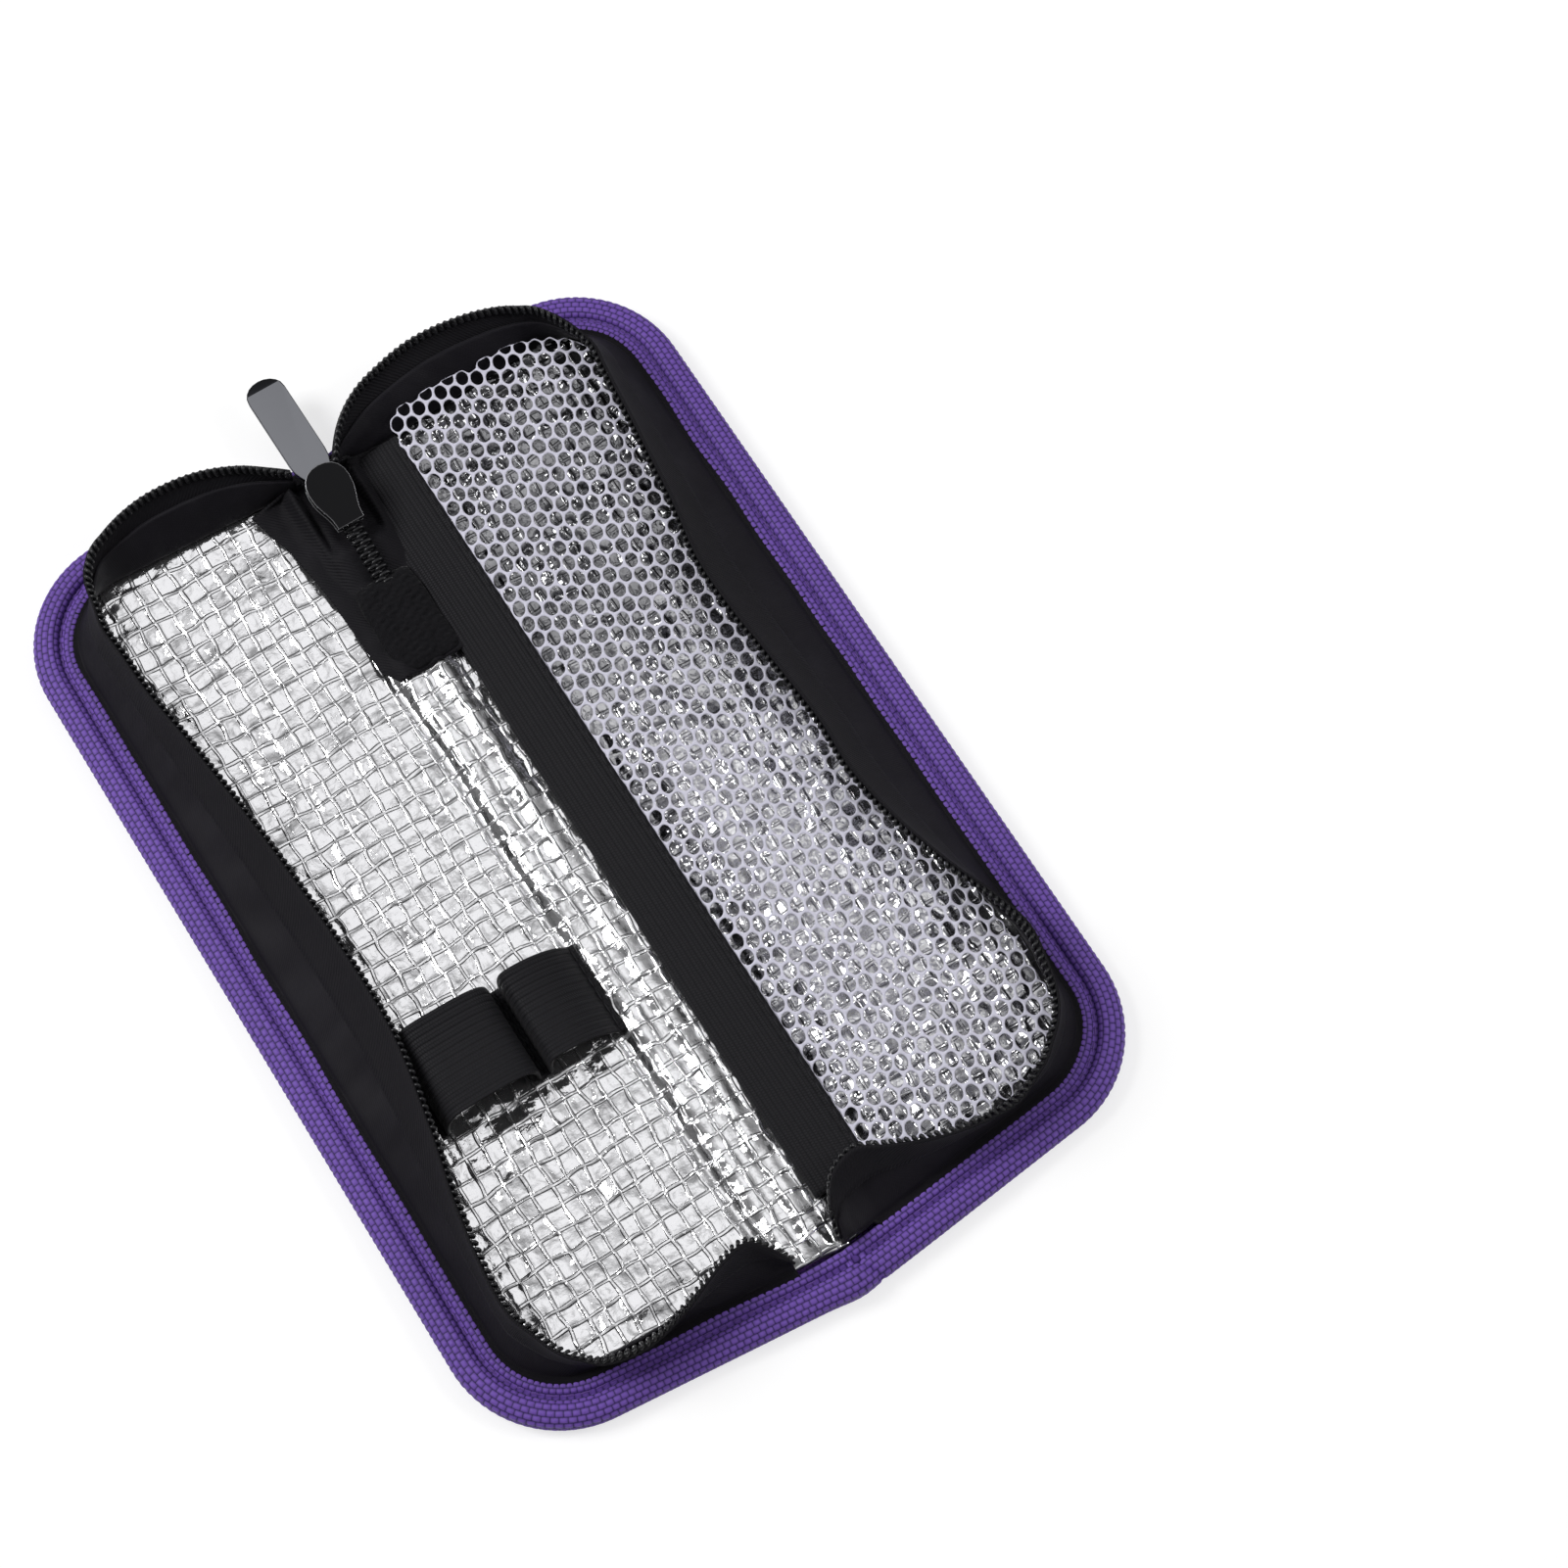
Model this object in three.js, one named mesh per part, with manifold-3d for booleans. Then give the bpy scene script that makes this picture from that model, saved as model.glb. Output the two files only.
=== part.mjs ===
// Soft insulin cooling case, shown open and lying on its back.
// Millimetres. +X points from the spine to the lid half with the net pocket, +Y runs along the
// spine to the end where the zipper slider sits, +Z is up. The origin is the middle of the
// spine's underside, on the surface the case lies on.

import * as THREE from 'three';
import { mergeVertices } from 'three/addons/utils/BufferGeometryUtils.js';
import Module from 'manifold-3d';

const wasm = await Module();
wasm.setup();

// Driving dimensions of the flat shell
const halfWidth = 73;
const spineEndReach = 104;
const farCornerRise = 4;
const nearCornerRise = 7.5;
const cornerRadius = 24;

// The two fold lines beside the spine
const spineHalfWidth = 9;
const foldHeight = 11.5;
const panelSplit = 0.3;

// Thicknesses of the layers, from the outside in, and the clearance between sewn layers
const clearance = 0.25;
const seat = 0.3;
const stripClearance = 0.5;
const bindingThickness = 0.8;
const coverThickness = 0.6;
const foamThickness = 1.2;
const linerThickness = 0.5;

// Binding and gusset
const bindingWidth = 8.5;
const bindingUndersideWidth = 9.5;
const gussetWidth = 18.5;
const gussetThickness = 1;
const gussetBulge = 1.1;
const toeHeight = 1.2;
const foldSweep = 6.9;
const tapeThickness = 0.6;

// Zipper
const coilWidth = 2.1;
const coilHeight = 1.4;
const coilPitch = 1.45;
const turnsPerTooth = 2;
const coilValleyDepth = 0.8;

// Slider, its crown and its pull
const sliderLength = 13.4;
const sliderMouthWidth = 9.3;
const sliderTailWidth = 5.8;
const sliderPlate = 0.9;
const sliderTilt = THREE.MathUtils.degToRad(16);
const sliderX = -4.2;
const sliderEndGap = 17.4;
const sliderY = spineEndReach - sliderEndGap;
const sliderZ = 11.15;
const postWidth = 2.4;
const postLength = 3.8;
const railWidth = 0.5;
const crownLength = 7.5;
const crownWidth = 1.6;
const crownBar = 0.8;
const crownClear = 1.9;
const crownCentreY = 0.55;
const pullWidth = 8.3;
const pullLength = 29.3;
const pullThickness = 1.1;
const pullDroop = THREE.MathUtils.degToRad(3);
const pullEyeWall = 1.1;
const pullSlotLength = 2.6;
const pullPlay = 0.45;
const pullTipChamfer = 2.6;
const pullChamferAngle = THREE.MathUtils.degToRad(15);

// Pen loops: their strip is sewn down at both ends and in the middle
const loopWidth = 20;
const loopThickness = 1.2;
const loopSeamWidth = 1.6;
const loopNearEdgeY = -37.2;
const loopSideGap = 21;
const loopOuterX = loopSideGap - halfWidth;
const loopMiddleX = -29.3;
const loopInnerX = -11.8;
const outerLoopHeight = 10.2;
const innerLoopHeight = 8.6;

// Net pocket with its elastic, and the tab over the zipper's closed end
const netThickness = 0.7;
const netHeight = 8.3;
const netPitch = 5.9;
const netStrand = 1.1;
const elasticThickness = 1;
const elasticFreeEdgeX = 1.2;
const elasticSewnEdgeX = 13.4;
const elasticFarGap = 11;
const elasticNearGap = 19.4;
const elasticFarY = spineEndReach - elasticFarGap;
const elasticNearY = elasticNearGap - spineEndReach;
const tabLeftX = -10.2;
const tabRightX = 0.9;
const tabSliderGap = 17.2;
const tabFarY = sliderY - tabSliderGap;
const tabLength = 22;
const tabHeight = 3.4;
const joinedTapeWidth = 10;

// Heights that follow from the layers
const coverEdgeBottom = bindingThickness + clearance;
const coverTop = coverEdgeBottom + coverThickness;
const foamBottom = coverTop + clearance;
const foamTop = foamBottom + foamThickness;
const linerBottom = foamTop + clearance;
const linerTop = linerBottom + linerThickness;
const lapBottom = linerTop + clearance;
const bindingTop = lapBottom + bindingThickness;
const wallFoot = linerTop + seat;
const layerInset = bindingThickness + clearance;
const seamInset = bindingWidth + seat + gussetThickness / 2;
const farSlope = farCornerRise / halfWidth;
const nearSlope = nearCornerRise / halfWidth;
const panelEdgeX = spineHalfWidth + panelSplit / 2;
const spineEdgeX = spineHalfWidth - panelSplit / 2;

// Colours
const purple = 0x4b2a96;
const purpleWebbing = 0x5730a8;
const black = 0x141416;
const foilSilver = 0xc9cccf;
const foamWhite = 0xdedede;
const netLilac = 0xd8d4e4;
const gunmetal = 0x4a4d52;

const cloth = (color, roughness) => new THREE.MeshStandardMaterial({ color, roughness, metalness: 0 });
const metal = (color, roughness) => new THREE.MeshStandardMaterial({ color, roughness, metalness: 1 });

const insulinCase = new THREE.Group();

function addNode(name, geometry, material, parent = insulinCase) {
  const mesh = new THREE.Mesh(geometry, material);
  mesh.name = name;
  parent.add(mesh);
  return mesh;
}

// Solids from rings of points

function signedVolume(positions, index) {
  const a = new THREE.Vector3();
  const b = new THREE.Vector3();
  const c = new THREE.Vector3();
  let volume = 0;
  for (let i = 0; i < index.length; i += 3) {
    a.fromArray(positions, 3 * index[i]);
    b.fromArray(positions, 3 * index[i + 1]);
    c.fromArray(positions, 3 * index[i + 2]);
    volume += a.dot(b.cross(c)) / 6;
  }
  return volume;
}

function closedGeometry(points, index) {
  const positions = points.flatMap((p) => [p.x, p.y, p.z]);
  if (signedVolume(positions, index) < 0) index.reverse();
  const geometry = new THREE.BufferGeometry();
  geometry.setAttribute('position', new THREE.Float32BufferAttribute(positions, 3));
  geometry.setIndex(index);
  return geometry;
}

// Joins rings with the same number of points into one closed solid. The section gives the
// ring's outline in a plane, and its triangles close both ends.
function sweep(rings, section) {
  const count = section.length;
  const index = [];
  for (let r = 0; r + 1 < rings.length; r += 1) {
    for (let k = 0; k < count; k += 1) {
      const a = r * count + k;
      const b = r * count + ((k + 1) % count);
      index.push(a, b, b + count, a, b + count, a + count);
    }
  }
  const last = (rings.length - 1) * count;
  for (const [a, b, c] of THREE.ShapeUtils.triangulateShape(section, [])) {
    const turn = THREE.ShapeUtils.isClockWise(section) ? 1 : -1;
    const [p, q] = turn > 0 ? [b, c] : [c, b];
    index.push(a, p, q, last + a, last + q, last + p);
  }
  return closedGeometry(rings.flat(), index);
}

function toManifold(geometry) {
  const bare = new THREE.BufferGeometry();
  bare.setAttribute('position', geometry.getAttribute('position').clone());
  if (geometry.index) bare.setIndex(geometry.index.clone());
  const merged = mergeVertices(bare);
  return new wasm.Manifold(new wasm.Mesh({
    numProp: 3,
    vertProperties: new Float32Array(merged.attributes.position.array),
    triVerts: new Uint32Array(merged.index.array),
  }));
}

function fromManifold(solid) {
  const { vertProperties, triVerts } = solid.getMesh();
  const geometry = new THREE.BufferGeometry();
  geometry.setAttribute('position', new THREE.Float32BufferAttribute(vertProperties, 3));
  geometry.setIndex(Array.from(triVerts));
  return geometry;
}

const fuse = (...geometries) => fromManifold(geometries.map(toManifold).reduce((a, b) => a.add(b)));
const cut = (geometry, tool) => fromManifold(toManifold(geometry).subtract(toManifold(tool)));

function extrude(shape, depth, curveSegments = 8) {
  return new THREE.ExtrudeGeometry(shape, { depth, bevelEnabled: false, curveSegments });
}

// The panel's edge. side is -1 for the base half and +1 for the lid half. A place on the
// edge is a share of the seam from the far end of the fold line (0) to its near end (1).

const edgeLineY = {
  far: (x) => spineEndReach + farSlope * Math.abs(x),
  near: (x) => -spineEndReach + nearSlope * Math.abs(x),
};

function cornerCentre(end) {
  const x = halfWidth - cornerRadius;
  const slope = end === 'far' ? farSlope : nearSlope;
  const inward = end === 'far' ? -1 : 1;
  return new THREE.Vector2(x, edgeLineY[end](x) + inward * cornerRadius * Math.hypot(1, slope));
}

const farCentre = cornerCentre('far');
const nearCentre = cornerCentre('near');
const farNormalAngle = Math.PI / 2 + Math.atan(farSlope);
const nearNormalAngle = -Math.PI / 2 + Math.atan(nearSlope);
const seamRadius = cornerRadius - seamInset;
const farRun = (farCentre.x - panelEdgeX) * Math.hypot(1, farSlope);
const nearRun = (nearCentre.x - panelEdgeX) * Math.hypot(1, nearSlope);
const runs = [
  farRun,
  seamRadius * farNormalAngle,
  farCentre.y - nearCentre.y,
  -seamRadius * nearNormalAngle,
  nearRun,
];
const seamLength = runs.reduce((a, b) => a + b, 0);
const breakShares = runs.reduce((list, run) => [...list, list.at(-1) + run / seamLength], [0]);

// Outer edge point and outward direction at a share of the seam
function edgeAt(side, share) {
  let along = share * seamLength;
  let centre = farCentre;
  let angle = farNormalAngle;
  let slide = 0;
  if (share < breakShares[1]) {
    slide = along - runs[0];
  } else if (share < breakShares[2]) {
    angle = farNormalAngle - (along - runs[0]) / seamRadius;
  } else if (share < breakShares[3]) {
    along -= runs[0] + runs[1];
    angle = 0;
    slide = along;
  } else if (share < breakShares[4]) {
    centre = nearCentre;
    angle = -(along - runs[0] - runs[1] - runs[2]) / seamRadius;
  } else {
    centre = nearCentre;
    angle = nearNormalAngle;
    slide = along - runs[0] - runs[1] - runs[2] - runs[3];
  }
  const out = new THREE.Vector2(Math.cos(angle), Math.sin(angle));
  const forward = new THREE.Vector2(out.y, -out.x);
  const point = centre.clone().addScaledVector(out, cornerRadius).addScaledVector(forward, slide);
  point.x *= side;
  out.x *= side;
  return { point, out };
}

// Point of the panel at a share, a distance in from its outer edge
function panelPoint(side, share, inset, z) {
  const { point, out } = edgeAt(side, share);
  return new THREE.Vector3(point.x - out.x * inset, point.y - out.y * inset, z);
}

// Point on the fold line, a distance in from the panel's end
function foldPoint(side, end, inset, z) {
  const slope = end === 'far' ? farSlope : nearSlope;
  const inward = end === 'far' ? -1 : 1;
  const x = side * panelEdgeX;
  return new THREE.Vector3(x, edgeLineY[end](x) + inward * inset * Math.hypot(1, slope), z);
}

const cornerSteps = 8;

function cornerShares(first) {
  const [from, to] = [breakShares[first], breakShares[first + 1]];
  return Array.from({ length: cornerSteps + 1 }, (_, i) => from + ((to - from) * i) / cornerSteps);
}

const outlineShares = [...cornerShares(1), ...cornerShares(3)].map((s) => Math.min(s, 1));

function panelLoop(side, inset, z) {
  return [
    foldPoint(side, 'far', inset, z),
    ...outlineShares.map((share) => panelPoint(side, share, inset, z)),
    foldPoint(side, 'near', inset, z),
  ];
}

function spineLoop(inset, z) {
  const row = (end, inward) => [-spineEdgeX, 0, spineEdgeX].map(
    (x) => new THREE.Vector3(x, edgeLineY[end](x) + inward * inset, z),
  );
  return [...row('near', 1), ...row('far', -1).reverse()];
}

const flat = (loop) => loop.map((p) => new THREE.Vector2(p.x, p.y));

// A plate whose edge steps in and out: levels are pairs of inset and height, bottom first
function plate(loopAt, levels) {
  const rings = levels.map(([inset, z]) => loopAt(inset, z));
  return sweep(rings, flat(rings[0]));
}

const coverLevels = [
  [bindingUndersideWidth + seat, 0],
  [bindingUndersideWidth + seat, coverEdgeBottom],
  [layerInset, coverEdgeBottom],
  [layerInset, coverTop],
];
const foamLevels = [[layerInset, foamBottom], [layerInset, foamTop]];
const linerLevels = [[layerInset, linerBottom], [layerInset, linerTop]];

// Folded binding: its section is pairs of inset and height
const bindingSection = [
  [bindingUndersideWidth, 0],
  [bindingThickness, 0],
  [0, bindingThickness],
  [0, lapBottom],
  [bindingThickness, bindingTop],
  [bindingWidth, bindingTop],
  [bindingWidth, lapBottom],
  [bindingThickness, lapBottom],
  [bindingThickness, bindingThickness],
  [bindingUndersideWidth, bindingThickness],
];
const bindingPlane = bindingSection.map(([inset, z]) => new THREE.Vector2(inset, z));

function panelBinding(side) {
  const ring = (place) => bindingSection.map(([inset, z]) => place(inset, z));
  const rings = [
    ring((inset, z) => foldPoint(side, 'far', inset, z)),
    ...outlineShares.map((share) => ring((inset, z) => panelPoint(side, share, inset, z))),
    ring((inset, z) => foldPoint(side, 'near', inset, z)),
  ];
  return sweep(rings, bindingPlane);
}

function spineBinding(end) {
  const inward = end === 'far' ? -1 : 1;
  const rings = [-spineEdgeX, 0, spineEdgeX].map((x) => bindingSection.map(
    ([inset, z]) => new THREE.Vector3(x, edgeLineY[end](x) + inward * inset, z),
  ));
  return sweep(rings, bindingPlane);
}

// Gusset walls. Each row gives a share of the seam, then how far the zipper edge leans in
// from the seam and how high it stands, both as shares of the gusset's width. Shares below
// zero and above one lie past the fold line, over the spine.

const baseWallShares = [
  [0, 0.075, 0.47],
  [0.009, -0.04, 0.49],
  [0.03, -0.28, 0.54],
  [0.06, -0.42, 0.58],
  [0.095, -0.45, 0.585],
  [0.122, -0.37, 0.585],
  [0.146, -0.2, 0.585],
  [0.161, -0.02, 0.585],
  [0.187, 0.29, 0.585],
  [0.235, 0.395, 0.585],
  [0.277, 0.43, 0.585],
  [0.33, 0.535, 0.585],
  [0.443, 0.7, 0.585],
  [0.569, 0.75, 0.585],
  [0.647, 0.57, 0.585],
  [0.701, 0.39, 0.585],
  [0.765, 0.265, 0.585],
  [0.812, 0.29, 0.585],
  [0.85, 0.06, 0.585],
  [0.864, -0.09, 0.585],
  [0.892, -0.13, 0.585],
  [0.922, 0.025, 0.585],
  [0.954, 0.29, 0.585],
  [0.976, 0.38, 0.54],
  [0.99, 0.24, 0.4],
  [1, 0.04, 0.25],
];

const lidWallShares = [
  [-0.021, -0.22, 0.49],
  [0.003, -0.44, 0.48],
  [0.033, -0.54, 0.55],
  [0.063, -0.57, 0.585],
  [0.098, -0.5, 0.585],
  [0.127, -0.35, 0.585],
  [0.146, -0.15, 0.585],
  [0.161, 0.09, 0.585],
  [0.18, 0.28, 0.585],
  [0.215, 0.42, 0.585],
  [0.282, 0.545, 0.585],
  [0.348, 0.675, 0.585],
  [0.397, 0.8, 0.585],
  [0.44, 0.8, 0.585],
  [0.472, 0.76, 0.585],
  [0.542, 0.69, 0.585],
  [0.585, 0.71, 0.585],
  [0.631, 0.605, 0.585],
  [0.677, 0.405, 0.585],
  [0.712, 0.2, 0.585],
  [0.742, 0.09, 0.585],
  [0.77, 0.155, 0.585],
  [0.798, 0.24, 0.585],
  [0.839, 0.24, 0.585],
  [0.862, 0.12, 0.585],
  [0.886, -0.01, 0.585],
  [0.91, 0.035, 0.585],
  [0.939, 0.19, 0.585],
  [0.974, 0.43, 0.57],
  [0.994, 0.57, 0.53],
  [1.005, 0.53, 0.48],
  [1.013, 0.43, 0.38],
];

const wallTables = new Map([[-1, baseWallShares], [1, lidWallShares]]);
const wallEnds = new Map([...wallTables].map(([side, rows]) => [side, [rows[0][0], rows.at(-1)[0]]]));

// Smooth curve through the rows of a table: lean share and height share at a share
function tableAt(rows, share) {
  const next = rows.findIndex((row) => row[0] > share);
  const i = next < 0 ? rows.length - 2 : Math.max(next - 1, 0);
  const step = rows[i + 1][0] - rows[i][0];
  const t = (share - rows[i][0]) / step;
  const before = rows[Math.max(i - 1, 0)];
  const after = rows[Math.min(i + 2, rows.length - 1)];
  const slope = (from, to, column) => ((to[column] - from[column]) / (to[0] - from[0])) * step;
  return [1, 2].map((column) => {
    const startSlope = slope(before, rows[i + 1], column);
    const endSlope = slope(rows[i], after, column);
    const rest = 1 - t;
    return rows[i][column] * (1 + 2 * t) * rest * rest + startSlope * t * rest * rest
      + rows[i + 1][column] * t * t * (1 + 2 * rest) - endSlope * t * t * rest;
  });
}

const spread = (from, to, steps) => Array.from(
  { length: steps + 1 },
  (_, i) => from + ((to - from) * i) / steps,
);

// A gusset wall seen along the seam: points of inset and height, from the foot up a short
// toe, over a slight bulge to the zipper edge. Past the fold line the foot keeps clear of
// the spine's liner while the case folds.
const tapeBottomShare = 0.5;
const gussetTopShare = 0.66;
const bulgeShares = [tapeBottomShare / 2, tapeBottomShare, gussetTopShare, 1];

function wallProfile(side, share) {
  const [leanShare, heightShare] = tableAt(wallTables.get(side), share);
  const past = Math.max(-share, share - 1, 0) * seamLength;
  const foot = past > 0
    ? foldHeight - Math.sqrt(foldSweep * foldSweep - (past - panelSplit / 2) ** 2)
    : wallFoot;
  const toe = Math.max(foot, wallFoot) + toeHeight;
  const rimZ = Math.max(wallFoot + heightShare * gussetWidth, toe + toeHeight);
  const lean = leanShare * gussetWidth;
  return [
    new THREE.Vector2(seamInset, Math.max(foot, wallFoot)),
    new THREE.Vector2(seamInset, toe),
    ...bulgeShares.map((rise) => new THREE.Vector2(
      seamInset + lean * rise + gussetBulge * 4 * rise * (1 - rise),
      toe + (rimZ - toe) * rise,
    )),
  ];
}

// The profile moved sideways by a distance towards the inside of the case
function offsetProfile(points, off) {
  return points.map((point, i) => {
    const before = points[Math.max(i - 1, 0)];
    const after = points[Math.min(i + 1, points.length - 1)];
    const normal = (a, b) => {
      const d = b.clone().sub(a).normalize();
      return new THREE.Vector2(d.y, -d.x);
    };
    const first = i > 0 ? normal(before, point) : normal(point, after);
    const second = i < points.length - 1 ? normal(point, after) : first;
    const middle = first.clone().add(second).normalize();
    const moved = point.clone().addScaledVector(middle, off / middle.dot(first));
    if (i === 0) moved.y = point.y;
    return moved;
  });
}

// Posts stand along the seam; every strip on a wall follows the straight lines between them
const postSpacing = 4.6;
const postShares = new Map([...wallEnds].map(([side, [from, to]]) => {
  const inner = spread(0, 1, Math.round(seamLength / postSpacing));
  return [side, [...new Set([...(from < 0 ? [from] : []), ...inner, ...(to > 1 ? [to] : [])])]];
}));

function onSeam(side, share, inset, z) {
  if (share > 0 && share < 1) return panelPoint(side, share, inset, z);
  const end = share > 0 ? 'near' : 'far';
  const past = Math.max(-share, share - 1) * seamLength;
  const slope = end === 'far' ? farSlope : nearSlope;
  const inward = end === 'far' ? -1 : 1;
  const x = panelEdgeX - past;
  return new THREE.Vector3(side * x, edgeLineY[end](x) + inward * inset * Math.hypot(1, slope), z);
}

// Ring of points at a post from pairs of profile index (or distance past the edge) and offset
function wallRing(side, share, section) {
  const profile = wallProfile(side, share);
  return section.map(([place, off]) => {
    const line = offsetProfile(profile, off);
    let p = line[Math.min(place, line.length - 1)];
    if (!Number.isInteger(place) || place > line.length - 1) {
      const edge = line.at(-1);
      const up = edge.clone().sub(line.at(-2)).normalize();
      p = edge.clone().addScaledVector(up, place - line.length + 1);
    }
    return onSeam(side, share, p.x, p.y);
  });
}

const edgeIndex = bulgeShares.length + 1;

function wallStrip(side, indices, off, thickness) {
  const section = [
    ...indices.map((i) => [i, off + thickness / 2]),
    ...indices.toReversed().map((i) => [i, off - thickness / 2]),
  ];
  const rings = postShares.get(side).map((share) => wallRing(side, share, section));
  return sweep(rings, section.map(([i, o]) => new THREE.Vector2(i * gussetWidth, o)));
}

const tapeOff = -(gussetThickness + tapeThickness) / 2 - stripClearance;
const gussetPiece = (side) => wallStrip(side, [0, 1, 2, 3, 4], 0, gussetThickness);
const tapePiece = (side) => wallStrip(side, [3, 4, 5], tapeOff, tapeThickness);

// The zipper coil on the inside of the tape's edge: a bar with teeth that point past the edge
function coilPiece(side) {
  const posts = postShares.get(side);
  const teethPerPost = Math.round(postSpacing / (coilPitch * turnsPerTooth));
  const inner = tapeOff + tapeThickness / 2 + stripClearance;
  const low = edgeIndex - coilWidth / 2;
  const section = (valley) => {
    const high = edgeIndex + coilWidth / 2 - valley;
    const top = inner + coilHeight - valley / 2;
    return [[low, inner], [high, inner], [high, top], [low, top]];
  };
  const rings = posts.slice(1).flatMap((share, i) => {
    const steps = 2 * teethPerPost;
    return spread(0, steps, steps).slice(i > 0 ? 1 : 0).map((step) => {
      const valley = step % 2 === 0 ? coilValleyDepth : 0;
      const from = wallRing(side, posts[i], section(valley));
      const to = wallRing(side, share, section(valley));
      return from.map((p, k) => p.lerp(to[k], step / steps));
    });
  });
  const square = [[0, 0], [1, 0], [1, 1], [0, 1]].map(([x, y]) => new THREE.Vector2(x, y));
  return sweep(rings, square);
}

// Half shells

for (const [name, side] of [['base', -1], ['lid', 1]]) {
  const loopAt = (inset, z) => panelLoop(side, inset, z);
  addNode(`${name}_cover`, plate(loopAt, coverLevels), cloth(purple, 0.75));
  addNode(`${name}_foam`, plate(loopAt, foamLevels), cloth(foamWhite, 0.9));
  addNode(`${name}_foil_liner`, plate(loopAt, linerLevels), metal(foilSilver, 0.25));
  addNode(`${name}_binding`, panelBinding(side), cloth(purpleWebbing, 0.85));
  addNode(`${name}_gusset`, gussetPiece(side), cloth(black, 0.6));
  addNode(`${name}_zipper_tape`, tapePiece(side), cloth(black, 0.8));
  addNode(`${name}_zipper_coil`, coilPiece(side), cloth(black, 0.4));
}

// Spine

addNode('spine_cover', plate(spineLoop, coverLevels), cloth(purple, 0.75));
addNode('spine_foam', plate(spineLoop, foamLevels), cloth(foamWhite, 0.9));
addNode('spine_foil_liner', plate(spineLoop, linerLevels), metal(foilSilver, 0.25));
addNode('spine_binding_near', spineBinding('near'), cloth(purpleWebbing, 0.85));
addNode('spine_binding_far', spineBinding('far'), cloth(purpleWebbing, 0.85));

// Pen loops: two arches of elastic, open along Y. An arch climbs from its left foot to its
// highest point and falls to its right foot; each side is a quarter of a rounded curve.
// Powers below 1 make a side squarer, and powers above 1 make it hollow.

const archSteps = 14;
const outerArch = { peakShare: 0.3, left: [0.65, 0.75], right: [0.6, 0.5] };
const innerArch = { peakShare: 0.2, left: [0.7, 0.7], right: [1, 1.6] };

function archLoop(leftX, rightX, height, { peakShare, left, right }) {
  const from = leftX + loopSeamWidth;
  const to = rightX - loopSeamWidth;
  const peakX = THREE.MathUtils.lerp(from, to, peakShare);
  const curve = (shrink) => spread(0, Math.PI, archSteps).map((angle) => {
    const across = Math.cos(angle);
    const [reach, [xPower, zPower]] = across > 0 ? [from - peakX, left] : [to - peakX, right];
    const rise = (height - shrink) * Math.sin(angle) ** zPower;
    const run = (Math.abs(reach) - shrink) * Math.abs(across) ** xPower;
    return new THREE.Vector2(peakX + Math.sign(reach) * run, wallFoot + rise);
  });
  const outer = curve(0);
  const inner = curve(loopThickness).reverse();
  const tab = (x) => [new THREE.Vector2(x, wallFoot), new THREE.Vector2(x, wallFoot + loopThickness)];
  const [leftLow, leftHigh] = tab(leftX + seat / 2);
  const [rightLow, rightHigh] = tab(rightX - seat / 2);
  const above = outer.filter((p) => p.y > wallFoot + loopThickness);
  const footLeft = outer[0].clone().setY(wallFoot + loopThickness);
  const footRight = outer.at(-1).clone().setY(wallFoot + loopThickness);
  const points = [leftLow, leftHigh, footLeft, ...above, footRight, rightHigh, rightLow, ...inner];
  const geometry = extrude(new THREE.Shape(points), loopWidth, 1);
  geometry.rotateX(Math.PI / 2);
  geometry.translate(0, loopNearEdgeY + loopWidth, 0);
  return geometry;
}

addNode(
  'pen_loop_outer',
  archLoop(loopOuterX, loopMiddleX, outerLoopHeight, outerArch),
  cloth(black, 0.7),
);
addNode(
  'pen_loop_inner',
  archLoop(loopMiddleX, loopInnerX, innerLoopHeight, innerArch),
  cloth(black, 0.7),
);

// Net pocket: held by the lid's walls on three sides, with the elastic on its fourth side

const netEdgeX = elasticSewnEdgeX + seat * 2;
const netBottom = netHeight;
const netTop = netHeight + netThickness;

// How far in from the panel's edge the net stops, so that it meets the wall's inner face
function netInset(share) {
  const face = offsetProfile(wallProfile(1, share), gussetThickness / 2 + seat);
  const insetAt = (z) => {
    const i = face.findIndex((point) => point.y > z);
    const [low, high] = [face[i - 1], face[i]];
    return THREE.MathUtils.lerp(low.x, high.x, (z - low.y) / (high.y - low.y));
  };
  return Math.max(insetAt(netBottom), insetAt(netTop));
}

function netOutline(extraInset) {
  return postShares.get(1)
    .filter((share) => share > 0 && share < 1)
    .map((share) => panelPoint(1, share, netInset(share) + extraInset, 0))
    .filter((p) => p.x > netEdgeX + extraInset)
    .map((p) => new THREE.Vector2(p.x, p.y));
}

function closedNetOutline(extraInset) {
  const sewn = netOutline(extraInset);
  const x = netEdgeX + extraInset;
  return [new THREE.Vector2(x, sewn[0].y), ...sewn, new THREE.Vector2(x, sewn.at(-1).y)];
}

function insidePolygon(point, polygon) {
  let inside = false;
  polygon.forEach((a, i) => {
    const b = polygon[(i + 1) % polygon.length];
    if ((a.y > point.y) !== (b.y > point.y)) {
      const x = a.x + ((point.y - a.y) / (b.y - a.y)) * (b.x - a.x);
      if (x > point.x) inside = !inside;
    }
  });
  return inside;
}

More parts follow.
